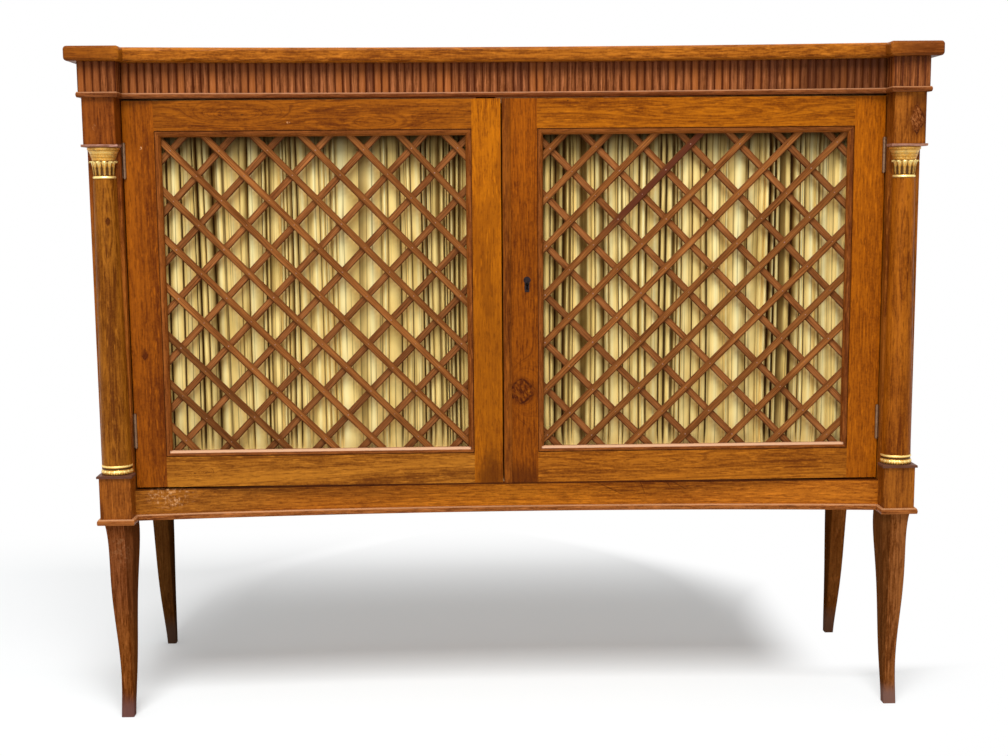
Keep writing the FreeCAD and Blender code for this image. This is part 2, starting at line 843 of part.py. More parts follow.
def make_stile(x0, x1, opening, rounded=()):
    stile = box(x0, x1, door_front, door_back, door_bottom, door_top)
    for x in rounded:
        stile = round_upright(stile, x, door_front, door_edge_radius)
    for z0, z1 in rail_spans():
        stile = stile.cut(door_tenon(opening[0] - door_tenon_length, opening[1] + door_tenon_length, z0, z1,
                                     joint_clearance))
    return stile


def make_hinge_stile(side, opening):
    if side > 0:
        stile = make_stile(opening[1], door_outer, opening, (door_outer,))
    else:
        stile = make_stile(-door_outer, opening[0], opening, (-door_outer,))
    tools = []
    for level in hinge_levels:
        low = level - hinge_length / 2
        high = level + hinge_length / 2
        notch = pin_head_height + knuckle_notch_gap
        tools.append(side_box(side, door_outer - leaf_thickness, door_outer, door_front,
                              hinge_axis_y + leaf_width, low, high))
        tools.append(cylinder(side * hinge_axis_x, hinge_axis_y, low - notch, high + notch,
                              knuckle_radius + knuckle_notch_gap))
        tools.extend(screw_holes(level, side * door_outer, -side))
    return cut_all(stile, tools)


def lock_bolt_span(grow):
    z0 = keyhole_level - lock_bolt_height / 2 - grow
    z1 = keyhole_level + lock_bolt_height / 2 + grow
    y1 = door_back - (lock_depth - lock_bolt_thickness) / 2 + grow
    y0 = y1 - lock_bolt_thickness - 2 * grow
    return y0, y1, z0, z1


def make_left_meeting_stile():
    stile = make_stile(left_opening[1], left_meeting_edge, left_opening, (left_meeting_edge,))
    y0, y1, z0, z1 = lock_bolt_span(bolt_clearance)
    depth = lock_bolt_travel + strike_pocket_spare
    pocket = box(left_meeting_edge - depth, left_meeting_edge, y0, y1, z0, z1)
    seat = box(left_meeting_edge - strike_thickness, left_meeting_edge, door_back - lock_depth, door_back,
               keyhole_level - strike_height / 2, keyhole_level + strike_height / 2)
    return cut_all(stile, [pocket, seat])


def make_strike():
    plate = box(left_meeting_edge - strike_thickness, left_meeting_edge, door_back - lock_depth, door_back,
                keyhole_level - strike_height / 2, keyhole_level + strike_height / 2)
    y0, y1, z0, z1 = lock_bolt_span(bolt_clearance)
    return plate.cut(box(left_meeting_edge - strike_thickness, left_meeting_edge, y0, y1, z0, z1))


def lock_box(grow):
    return box(right_meeting_edge, right_meeting_edge + lock_width + grow, door_back - lock_depth - grow,
               door_back, keyhole_level - lock_height / 2 - grow, keyhole_level + lock_height / 2 + grow)


def key_slot(y0, y1, radius, width, length):
    # A round hole with a slot below it
    hole = Part.makeCylinder(radius, y1 - y0, V(keyhole_x, y0, keyhole_level), -FRONT)
    slot = box(keyhole_x - width / 2, keyhole_x + width / 2, y0, y1, keyhole_level - length, keyhole_level)
    return hole.fuse(slot)


def escutcheon_blank(y0, y1):
    # A round head on a flared foot
    head_z = keyhole_level + escutcheon_height / 2 - escutcheon_radius
    foot_z = keyhole_level - escutcheon_height / 2
    head = Part.makeCylinder(escutcheon_radius, y1 - y0, V(keyhole_x, y0, head_z), -FRONT)
    half_foot = escutcheon_foot_width / 2
    half_neck = keyhole_radius + keyhole_slot_width / 2
    points = [V(keyhole_x - half_foot, y0, foot_z), V(keyhole_x + half_foot, y0, foot_z),
              V(keyhole_x + half_neck, y0, head_z), V(keyhole_x - half_neck, y0, head_z)]
    foot = polygon_face(points).extrude(V(0, y1 - y0, 0))
    return head.fuse(foot).removeSplitter()


def make_right_meeting_stile():
    stile = make_stile(right_meeting_edge, right_opening[0], right_opening)
    seat_depth = escutcheon_thickness - escutcheon_proud
    tools = [lock_box(joint_clearance), escutcheon_blank(door_front, door_front + seat_depth),
             key_slot(door_front, door_back, keyhole_radius, keyhole_slot_width, keyhole_slot_length)]
    return cut_all(stile, tools)


def make_escutcheon():
    y0 = door_front - escutcheon_proud
    y1 = y0 + escutcheon_thickness
    return escutcheon_blank(y0, y1).cut(key_slot(y0, y1, keyhole_radius, keyhole_slot_width,
                                                 keyhole_slot_length))


def make_lock_case():
    outer = lock_box(0)
    w = lock_wall
    inner = box(right_meeting_edge + w, right_meeting_edge + lock_width - w, door_back - lock_depth + w,
                door_back - w, keyhole_level - lock_height / 2 + w, keyhole_level + lock_height / 2 - w)
    y0, y1, z0, z1 = lock_bolt_span(bolt_clearance)
    door_way = box(right_meeting_edge, right_meeting_edge + w, y0, y1, z0, z1)
    key_way = key_slot(door_back - lock_depth, door_back - lock_depth + w, keyhole_radius,
                       keyhole_slot_width, keyhole_slot_length)
    return cut_all(outer, [inner, door_way, key_way])


def make_lock_bolt():
    y0, y1, z0, z1 = lock_bolt_span(0)
    x0 = right_meeting_edge + lock_bolt_rest
    return box(x0, x0 + lock_bolt_length, y0, y1, z0, z1)


def make_closing_bead():
    x0 = right_meeting_edge
    x1 = x0 + closing_bead_width
    foot_left = V(x0, door_front, door_bottom)
    foot_right = V(x1, door_front, door_bottom)
    edge_left = foot_left + FRONT * closing_bead_edge
    edge_right = foot_right + FRONT * closing_bead_edge
    crest = V((x0 + x1) / 2, door_front - closing_bead_crown, door_bottom)
    wire = Part.Wire([line(foot_left, edge_left), arc(edge_left, crest, edge_right),
                      line(edge_right, foot_right), line(foot_right, foot_left)])
    return Part.Face(wire).extrude(V(0, 0, door_top - door_bottom))


def make_opening_moulding(opening):
    # Four mitred strips round the inside of the frame
    rise = -FRONT
    corners = [V(opening[0], door_front, opening_bottom), V(opening[1], door_front, opening_bottom),
               V(opening[1], door_front, opening_top), V(opening[0], door_front, opening_top)]
    inward = [V(0, 0, 1), V(-1, 0, 0), V(0, 0, -1), V(1, 0, 0)]
    strips = []
    for i in range(len(corners)):
        nxt = (i + 1) % len(corners)
        prv = (i - 1) % len(corners)
        strips.append(moulding_strip(opening_profile, corners[i], corners[nxt], inward[i], rise,
                                     inward[prv], inward[nxt]))
    return strips


lattice_shares = {"left": (left_falling_shares, left_rising_shares),
                  "right": (right_rising_shares, right_falling_shares)}


def make_lattice_layer(opening, y0, lean, shares):
    # Slats that lie along one diagonal of the sight opening, ending inside the frame
    m = opening_moulding_width
    sight_width = opening[1] - opening[0] - 2 * m
    sight_height = opening_top - opening_bottom - 2 * m
    centre = V((opening[0] + opening[1]) / 2, 0, (opening_top + opening_bottom) / 2)
    length = math.hypot(sight_width, sight_height) + 2 * slat_pitch
    e = slat_end_clearance
    field = box(opening[0] + e, opening[1] - e, y0, y0 + slat_thickness, opening_bottom + e,
                opening_top - e)
    slats = []
    for place, slope in shares:
        angle = math.atan2(sight_height, sight_width * slope) * lean
        slat = box(-length / 2, length / 2, y0, y0 + slat_thickness, -slat_width / 2, slat_width / 2)
        slat.rotate(V(0, 0, 0), FRONT, math.degrees(angle))
        slat.translate(centre + V(place * slat_pitch, 0, 0))
        piece = slat.common(field)
        if piece.Volume > slat_width * slat_width * slat_thickness:
            slats.append(piece.Solids[0])
    return slats


def rod_levels():
    # Each rod lies behind a rail, just outside the opening
    return (opening_bottom - rod_lap, opening_top + rod_lap)


def curtain_edges(opening):
    return opening[0] - curtain_lap, opening[1] + curtain_lap


def make_rods_and_eyes(opening):
    x0, x1 = curtain_edges(opening)
    y = door_back + rod_setback
    solids = []
    for z in rod_levels():
        solids.append(Part.makeCylinder(rod_radius, x1 - x0 + eye_width, V(x0 - eye_width / 2, y, z),
                                        V(1, 0, 0)))
        hole = Part.makeCylinder(rod_radius + eye_clearance, x1 - x0 + 2 * eye_width,
                                 V(x0 - eye_width, y, z), V(1, 0, 0))
        for x in (x0 - eye_width, x1):
            eye = box(x, x + eye_width, door_back, y + rod_radius * 2, z - eye_height / 2,
                      z + eye_height / 2)
            solids.append(eye.cut(hole))
    return solids


def make_curtain(opening):
    # A gathered sheet between the rods: half folds to the front and to the back in turn
    x0, x1 = curtain_edges(opening)
    z_low, z_high = rod_levels()
    z0 = z_low + rod_radius + curtain_clearance
    z1 = z_high - rod_radius - curtain_clearance
    y = door_back + rod_setback
    unit = (x1 - x0) / sum(width for width, _ in curtain_fold_shares)
    half = curtain_thickness / 2
    wires = []
    for share, level in zip(curtain_level_shares, (z1, (z0 + z1) / 2, z0)):
        front = []
        back = []
        x = x0
        way = -1
        for width, depth in curtain_fold_shares:
            nxt = x + width * unit
            crest = y + way * depth * share * curtain_fold
            for run, shift in ((front, -half), (back, half)):
                run.append((V(x, y + shift, level), V((x + nxt) / 2, crest + shift, level),
                            V(nxt, y + shift, level)))
            x = nxt
            way = -way
        edges = [arc(*run) for run in front]
        edges.append(line(front[-1][2], back[-1][2]))
        edges.extend(arc(run[2], run[1], run[0]) for run in reversed(back))
        edges.append(line(back[0][0], front[0][0]))
        wires.append(Part.Wire(edges))
    return Part.makeLoft(wires, True, True)


# Slide bolts of the left door

def slide_bolt_x():
    return (left_opening[1] + left_meeting_edge) / 2


def slide_bolt_y():
    return door_back + slide_bolt_offset


def square_bar(size, z0, z1):
    x = slide_bolt_x()
    y = slide_bolt_y()
    return box(x - size / 2, x + size / 2, y - size / 2, y + size / 2, z0, z1)


def bolt_range(up):
    # Lower and upper end of a slide bolt at rest, for the top or the bottom one
    if up:
        tip = door_top - slide_bolt_rest
        return tip - slide_bolt_length, tip
    tip = door_bottom + slide_bolt_rest
    return tip, tip + slide_bolt_length


def make_slide_bolt(up):
    z0, z1 = bolt_range(up)
    bolt = square_bar(slide_bolt_size, z0, z1)
    knob = Part.makeCylinder(bolt_knob_radius, bolt_knob_length, V(slide_bolt_x(), slide_bolt_y(),
                                                                  (z0 + z1) / 2), -FRONT)
    return bolt.fuse(knob).removeSplitter()


def make_bolt_guide(up):
    x = slide_bolt_x()
    half = bolt_plate_width / 2
    if up:
        z1 = door_top - bolt_plate_end
        z0 = z1 - bolt_plate_length
    else:
        z0 = door_bottom + bolt_plate_end
        z1 = z0 + bolt_plate_length
    guide = box(x - half, x + half, door_back, door_back + bolt_plate_thickness, z0, z1)
    outer = slide_bolt_size / 2 + bolt_clearance + staple_wall
    for z in (z0, z1 - staple_height):
        guide = guide.fuse(box(x - outer, x + outer, door_back, slide_bolt_y() + outer, z,
                               z + staple_height))
    hole = square_bar(slide_bolt_size + 2 * bolt_clearance, z0, z1)
    return guide.cut(hole).removeSplitter()


def socket_depth():
    return slide_bolt_travel + socket_spare


def bolt_socket(up):
    size = slide_bolt_size + 2 * bolt_clearance
    if up:
        return square_bar(size, front_rail_bottom, front_rail_bottom + socket_depth())
    return square_bar(size, base_rail_top - socket_depth(), base_rail_top)


def keeper_blank(up):
    x = slide_bolt_x()
    y = slide_bolt_y()
    z0 = front_rail_bottom if up else base_rail_top - keeper_thickness
    return box(x - keeper_width / 2, x + keeper_width / 2, y - slide_bolt_size, y - slide_bolt_size +
               keeper_depth, z0, z0 + keeper_thickness)


def make_frieze_rail():
    rail = hollow_rail(frieze_end_y, front_rail_bottom, top_underside)
    return cut_all(rail, [bolt_socket(True), keeper_blank(True)])


def make_base_rail():
    rail = hollow_rail(base_end_y, leg_height, base_rail_top)
    return cut_all(rail, [bolt_socket(False), keeper_blank(False)])


def write_case():
    write("top_board", make_top_board())
    write("frieze_rail_front", make_frieze_rail())
    write("base_rail_front", make_base_rail())
    write("case_rails", *make_case_rails())
    write("frieze_reeding_front", reeded_hollow(post_inner - reed_crown, frieze_bottom, top_underside))
    strips = []
    for side, _ in SIDES:
        outer = side * (post_outer + reed_crown)
        inner = side * (post_inner - reed_crown)
        ends = [V(outer, post_front, 0), V(inner, post_front, 0)]
        strips.append(reeded_strip(ends[0], ends[1], FRONT, frieze_bottom, top_underside))
        strips.append(reeded_strip(V(side * post_inner, post_front, 0), V(side * post_inner, frieze_end_y, 0),
                                   V(-side, 0, 0), frieze_bottom, top_underside))
        strips.append(reeded_strip(V(side * post_outer, post_front, 0), V(side * post_outer, carcase_back, 0),
                                   V(side, 0, 0), frieze_bottom, top_underside))
    write("frieze_reeding_corners", *strips)
    write("frieze_moulding", *wrapped_moulding(frieze_bead_profile, frieze_end_y, front_rail_bottom))
    write("base_moulding", *wrapped_moulding(base_nosing_profile, base_end_y, leg_height))
    for side, name in SIDES:
        write("front_post_" + name, make_front_post(side))
        write("front_leg_" + name, make_front_leg(side))
        write("back_leg_" + name, make_back_leg(side))
        write("column_" + name, make_column(side))
    write("back_posts", *[make_back_post(side) for side, _ in SIDES])
    write("side_panels", *[make_side_panel(side) for side, _ in SIDES])
    write("back_panel", box(-back_post_inner, back_post_inner, back_panel_front, back_panel_back, leg_height,
                            top_underside))
    write("bottom_board", make_bottom_board())
    write("shelf", make_shelf())
    write("shelf_cleats", *[make_cleat(side) for side, _ in SIDES])
    write("capitals", *[make_capital(side) for side, _ in SIDES])
    write("column_bases", *[make_column_base(side) for side, _ in SIDES])
    plates = []
    for side, _ in SIDES:
        top = plate_top - drop_of(side)
        plates.append(make_plate(side, top - plate_thickness, plate_thickness, False))
        plates.append(make_plate(side, lower_block_top, pad_thickness, True))
    write("column_plates", *plates)
    write("door_stops", *make_stops())
    write("bolt_keepers", *[keeper_blank(up).cut(bolt_socket(up)) for up in (True, False)])


def write_hinges():
    leaves = [make_case_leaf(side, level) for side, _ in SIDES for level in hinge_levels]
    write("case_hinge_leaves", *leaves)
    write("hinge_pins", *[make_pin(side, level) for side, _ in SIDES for level in hinge_levels])
    screws = []
    for side, _ in SIDES:
        for level in hinge_levels:
            screws.extend(screw_solids(side, level, side * post_inner, side))
    write("case_hinge_screws", *screws)
    for side, name in SIDES:
        write(name + "_hinge_leaves", *[make_door_leaf(side, level) for level in hinge_levels])
        screws = []
        for level in hinge_levels:
            screws.extend(screw_solids(side, level, side * door_outer, -side))
        write(name + "_hinge_screws", *screws)


def write_door(side, name, opening):
    write(name + "_hinge_stile", make_hinge_stile(side, opening))
    write(name + "_door_rails", *make_door_rails(opening))
    write(name + "_opening_moulding", *make_opening_moulding(opening))
    first = door_front + opening_moulding_depth
    front_shares, back_shares = lattice_shares[name]
    write(name + "_lattice_front", *make_lattice_layer(opening, first, side, front_shares))
    write(name + "_lattice_back", *make_lattice_layer(opening, first + slat_thickness, -side, back_shares))
    write(name + "_curtain", make_curtain(opening))
    write(name + "_curtain_rods", *make_rods_and_eyes(opening))


def write_doors():
    write_door(-1, "left", left_opening)
    write_door(1, "right", right_opening)
    write("left_meeting_stile", make_left_meeting_stile())
    write("right_meeting_stile", make_right_meeting_stile())
    write("closing_bead", make_closing_bead())
    write("keyhole_escutcheon", make_escutcheon())
    write("lock_case", make_lock_case())
    write("lock_bolt", make_lock_bolt())
    write("lock_strike", make_strike())
    write("top_bolt", make_slide_bolt(True))
    write("bottom_bolt", make_slide_bolt(False))
    write("bolt_guides", *[make_bolt_guide(up) for up in (True, False)])


os.makedirs("parts", exist_ok=True)
write_case()
write_hinges()
write_doors()
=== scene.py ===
"""Side cabinet with a reeded frieze, engaged columns and lattice doors: its finishes and fine pieces.

The file is laid out as a Blender add-on. Run as a script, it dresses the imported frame: woods, gilding,
silk curtains, lattice nails, carved capitals and column bases, and the stage that it stands on.
"""
import math

import bpy
import numpy as np
from mathutils import Matrix, Vector


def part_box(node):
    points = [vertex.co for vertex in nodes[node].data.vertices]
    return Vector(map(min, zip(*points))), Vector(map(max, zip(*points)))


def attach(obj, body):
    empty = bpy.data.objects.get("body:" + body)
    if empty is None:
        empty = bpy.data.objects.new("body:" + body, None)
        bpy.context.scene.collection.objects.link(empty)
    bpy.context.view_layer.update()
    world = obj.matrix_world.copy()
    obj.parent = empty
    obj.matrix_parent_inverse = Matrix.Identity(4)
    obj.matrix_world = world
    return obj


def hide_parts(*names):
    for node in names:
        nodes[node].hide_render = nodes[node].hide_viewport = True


bl_info = {
    "name": "Side Cabinet Finishes",
    "version": (1, 0, 0),
    "blender": (4, 5, 0),
    "location": "3D View > Sidebar > Side Cabinet",
    "description": "Dresses a side cabinet with woods, gilding, silk and carved capitals",
    "category": "Object",
}

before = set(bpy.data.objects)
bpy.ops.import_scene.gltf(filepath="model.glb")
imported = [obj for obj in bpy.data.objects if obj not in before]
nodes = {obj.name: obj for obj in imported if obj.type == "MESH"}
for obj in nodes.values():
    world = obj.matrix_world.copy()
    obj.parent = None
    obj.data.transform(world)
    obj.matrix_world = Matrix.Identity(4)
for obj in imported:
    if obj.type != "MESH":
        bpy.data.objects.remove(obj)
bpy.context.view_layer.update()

MILLI = 0.001
WHITE = (1.0, 1.0, 1.0, 1.0)
MOULDING_WIDTH = 9.5 * MILLI
# For each direction of the grain, the axes along it, across it and into the wood
AXES = {"X": (0, 2, 1), "Y": (1, 0, 2), "Z": (2, 0, 1)}
# Where the heart of the wood lies from the seed's point, across the grain and into the wood
HEART = (30.0 * MILLI, 14.0 * MILLI)


def tint(red, green, blue):
    """A colour as a screen shows it, 0 to 255, as the linear values that Blender takes"""
    linear = []
    for channel in (red, green, blue):
        share = channel / 255
        linear.append(share / 12.92 if share <= 0.04045 else ((share + 0.055) / 1.055) ** 2.4)
    return tuple(linear)


def scaled(colour, red, green, blue):
    return (colour[0] * red, colour[1] * green, colour[2] * blue)


def opaque(colour):
    return (*colour, 1.0)


# Sizes and colours that a user would change

def colour_property(name, description, *channels):
    """A colour, given as a screen shows it"""
    return bpy.props.FloatVectorProperty(name=name, description=description, size=3, subtype="COLOR",
                                         default=tint(*channels), min=0, max=1)


def share_property(name, description, default):
    return bpy.props.FloatProperty(name=name, description=description, default=default, min=0, max=1,
                                   subtype="FACTOR")


def length_property(name, description, millimetres):
    return bpy.props.FloatProperty(name=name, description=description, default=millimetres * MILLI,
                                   unit="LENGTH")


def power_property(name, description, default):
    return bpy.props.FloatProperty(name=name, description=description, default=default, min=0, unit="POWER")


class CabinetStage(bpy.types.PropertyGroup):
    """The camera, the lamps and the floor"""
    camera_place: bpy.props.FloatVectorProperty(
        name="Camera place", description="Where the camera stands", size=3,
        default=(-0.0925, -2.4552, 0.8289), subtype="TRANSLATION", unit="LENGTH")
    camera_turn: bpy.props.FloatVectorProperty(
        name="Camera turn", description="Pitch, roll and yaw of the camera", size=3,
        default=(math.radians(-7.96), math.radians(0.50), math.radians(-1.55)), subtype="EULER")
    lens: bpy.props.FloatProperty(
        name="Lens", description="Focal length of the camera", default=52.56, unit="CAMERA")
    shift: bpy.props.FloatVectorProperty(
        name="Shift", description="How far the picture is shifted across and up", size=2,
        default=(0.0147, 0.0161))
    floor_tone: share_property("Floor tone", "How pale the floor is", 0.80)
    sky: bpy.props.FloatProperty(
        name="Sky", description="Strength of the even light from all around", default=0.46, min=0)
    key_power: power_property("Key lamp", "Power of the wide lamp high in front", 185.0)
    fill_power: power_property("Low lamp", "Power of the wide lamp low in front", 14.0)


class CabinetWood(bpy.types.PropertyGroup):
    """The woods of the cabinet"""
    top: colour_property("Top", "Edge and face of the top board", 160, 91, 21)
    case: colour_property("Case", "Posts, blocks and base rail", 136, 71, 16)
    door: colour_property("Doors", "Stiles and rails of the doors", 150, 78, 10)
    reed: colour_property("Reeds", "Reeding and mouldings", 121, 66, 30)
    lattice: colour_property("Lattice", "Slats of the door lattice", 130, 77, 35)
    lattice_back: colour_property("Back lattice", "Slats of the rear layer of the lattice", 130, 77, 38)
    slat_bevel: length_property("Slat bevel", "Eased edge of a slat", 1.0)
    leg: colour_property("Legs", "Tapering legs", 116, 63, 26)
    inside: colour_property("Inside", "Oiled wood of the inside and the back", 168, 132, 92)
    gloss: share_property("Roughness", "Roughness of the polished wood", 0.40)
    varnish: share_property("Varnish", "Weight of the clear coat on the wood", 0.02)
    shine: share_property("Shine", "Strength of the reflections on the bare wood", 0.05)


class CabinetSilk(bpy.types.PropertyGroup):
    """The gathered silk behind the lattice"""
    colour: colour_property("Silk", "Lit colour of the silk", 255, 224, 142)
    # Painted highlight on the crests of the folds
    crest: colour_property("Crest", "Colour on the brightest crests of the folds", 255, 246, 186)
    # Painted shade on the flanks of the folds
    shade: colour_property("Shade", "Faded colour on the flanks of the folds", 104, 72, 22)
    # Painted shade deep between two folds
    valley: colour_property("Valley", "Colour deep between two folds", 56, 28, 2)
    folds: bpy.props.IntProperty(
        name="Folds", description="Folds across one curtain", default=40, min=4)
    fullness: bpy.props.FloatProperty(
        name="Fullness", description="Cloth width before it is gathered, over its width on the rods",
        default=1.55, min=1.05)


class CabinetGilt(bpy.types.PropertyGroup):
    """Gilding of the capitals and column bases"""
    gold: colour_property("Gold", "Colour of the gold leaf", 214, 150, 46)
    bright: colour_property("Bright gold", "Colour on burnished spots", 255, 232, 150)
    # Bright gold on scattered burnished spots, and as a painted highlight on what stands proud
    worn: colour_property("Worn gold", "Colour where the gold is rubbed or dusty", 84, 48, 8)
    # Worn gold on rubbed spots, and in the recesses as painted shade with dust
    leaves: bpy.props.IntProperty(
        name="Leaves", description="Leaves round the front half of a capital", default=6, min=3)
    base_leaves: bpy.props.IntProperty(
        name="Base leaves", description="Leaves round the front half of a column base", default=9, min=3)


class CabinetMetal(bpy.types.PropertyGroup):
    """Brass, steel and the lattice nails"""
    brass: colour_property("Brass", "Colour of the aged brass", 142, 110, 84)
    steel: colour_property("Steel", "Colour of the dark steel", 92, 80, 72)
    blued: colour_property("Blued steel", "Colour of the keyhole's rim", 44, 36, 38)
    nail: colour_property("Nails", "Colour of the lattice nails", 160, 118, 98)
    nail_radius: length_property("Nail radius", "Radius of a lattice nail's head", 1.15)
    nail_height: length_property("Nail height", "How proud a lattice nail's head stands", 0.45)


# Node trees

class Number:
    """A number in a node tree, on which sums are written as in Python"""

    def __init__(self, tree, socket):
        self.tree = tree
        self.socket = socket

    def __add__(self, other):
        return self.tree.sum("ADD", self, other)

    def __radd__(self, other):
        return self.tree.sum("ADD", other, self)

    def __sub__(self, other):
        return self.tree.sum("SUBTRACT", self, other)

    def __rsub__(self, other):
        return self.tree.sum("SUBTRACT", other, self)

    def __mul__(self, other):
        return self.tree.sum("MULTIPLY", self, other)

    def __rmul__(self, other):
        return self.tree.sum("MULTIPLY", other, self)

    def __truediv__(self, other):
        return self.tree.sum("DIVIDE", self, other)

    def __rtruediv__(self, other):
        return self.tree.sum("DIVIDE", other, self)

    def __pow__(self, other):
        return self.tree.sum("POWER", self, other)


class Tree:
    """Builds one node tree; every node comes from the node method"""

    def __init__(self, tree):
        self.tree = tree

    def node(self, kind, settings=None, sockets=None):
        made = self.tree.nodes.new(kind)
        for name, value in (settings or {}).items():
            if name == "stops":
                self.fill_ramp(made.color_ramp, value)
            else:
                setattr(made, name, value)
        for key, value in (sockets or {}).items():
            if isinstance(value, Number):
                value = value.socket
            if isinstance(value, bpy.types.NodeSocket):
                self.tree.links.new(value, made.inputs[key])
            else:
                made.inputs[key].default_value = value
        return made

    @staticmethod
    def fill_ramp(ramp, stops):
        while len(ramp.elements) < len(stops):
            ramp.elements.new(1.0)
        for element, (place, colour) in zip(ramp.elements, stops):
            element.position = place
            element.color = opaque(colour)

    def sum(self, operation, *values):
        made = self.node("ShaderNodeMath", {"operation": operation}, dict(enumerate(values)))
        return Number(self, made.outputs[0])

    def split(self, vector):
        made = self.node("ShaderNodeSeparateXYZ", None, {0: vector})
        return [Number(self, socket) for socket in made.outputs]

    def join(self, x, y, z):
        return self.node("ShaderNodeCombineXYZ", None, {0: x, 1: y, 2: z}).outputs[0]

    def seen(self):
        """1 for the rays that show a surface itself: straight, in a reflection or through glass"""
        rays = self.node("ShaderNodeLightPath")
        camera, glossy, through = (Number(self, rays.outputs[f"Is {kind} Ray"]) for kind in (
            "Camera", "Glossy", "Transmission"))
        return self.sum("MAXIMUM", self.sum("MAXIMUM", camera, glossy), through)


class Finish(Tree):
    """The tree of one material"""

    def __init__(self, name):
        self.material = bpy.data.materials.new(name)
        self.material.use_nodes = True
        super().__init__(self.material.node_tree)
        self.tree.nodes.clear()

    def place(self):
        """Object coordinates, in metres"""
        return self.node("ShaderNodeTexCoord").outputs["Object"]

    def noise(self, vector, scale=1.0, detail=2.0, rough=0.5):
        made = self.node("ShaderNodeTexNoise", None,
                         {"Vector": vector, "Scale": scale, "Detail": detail, "Roughness": rough})
        return Number(self, made.outputs[0])

    def noise_along(self, value, detail=2.0, rough=0.5):
        made = self.node("ShaderNodeTexNoise", {"noise_dimensions": "1D"},
                         {"W": value, "Scale": 1.0, "Detail": detail, "Roughness": rough})
        return Number(self, made.outputs[0])

    def step(self, value, low, high):
        """0 below low, 1 above high and smooth between them"""
        made = self.node("ShaderNodeMapRange", {"interpolation_type": "SMOOTHSTEP"},
                         {0: value, 1: low, 2: high, 3: 0.0, 4: 1.0})
        return Number(self, made.outputs[0])

    def blend(self, factor, first, second, kind="MIX"):
        made = self.node("ShaderNodeMix", {"data_type": "RGBA", "blend_type": kind},
                         {0: factor, 6: self.colour(first), 7: self.colour(second)})
        return made.outputs[2]

    @staticmethod
    def colour(value):
        return opaque(value) if isinstance(value, tuple) else value

    def ramp(self, value, stops):
        return self.node("ShaderNodeValToRGB", {"stops": stops}, {0: value}).outputs[0]

    def attribute(self, name):
        made = self.node("ShaderNodeAttribute", {"attribute_name": name})
        return Number(self, made.outputs["Fac"])

    def ellipse(self, xyz, spot):
        """Distance from a spot's centre, 1 on its rim; spot is x, z, half width and half height"""
        across = (xyz[0] - spot[0]) / spot[2]
        up = (xyz[2] - spot[1]) / spot[3]
        return (across * across + up * up) ** 0.5

    def surface(self, sockets, height=None, depth=0.0001, strength=0.6):
        """Ends the tree in a Principled shader, with a Bump where there is a height"""
        if height is not None:
            bump = self.node("ShaderNodeBump", None,
                             {"Strength": strength, "Distance": depth, "Height": height})
            sockets = {**sockets, "Normal": bump.outputs[0]}
        shader = self.node("ShaderNodeBsdfPrincipled", None, sockets)
        self.node("ShaderNodeOutputMaterial", None, {"Surface": shader.outputs[0]})
        return self.material


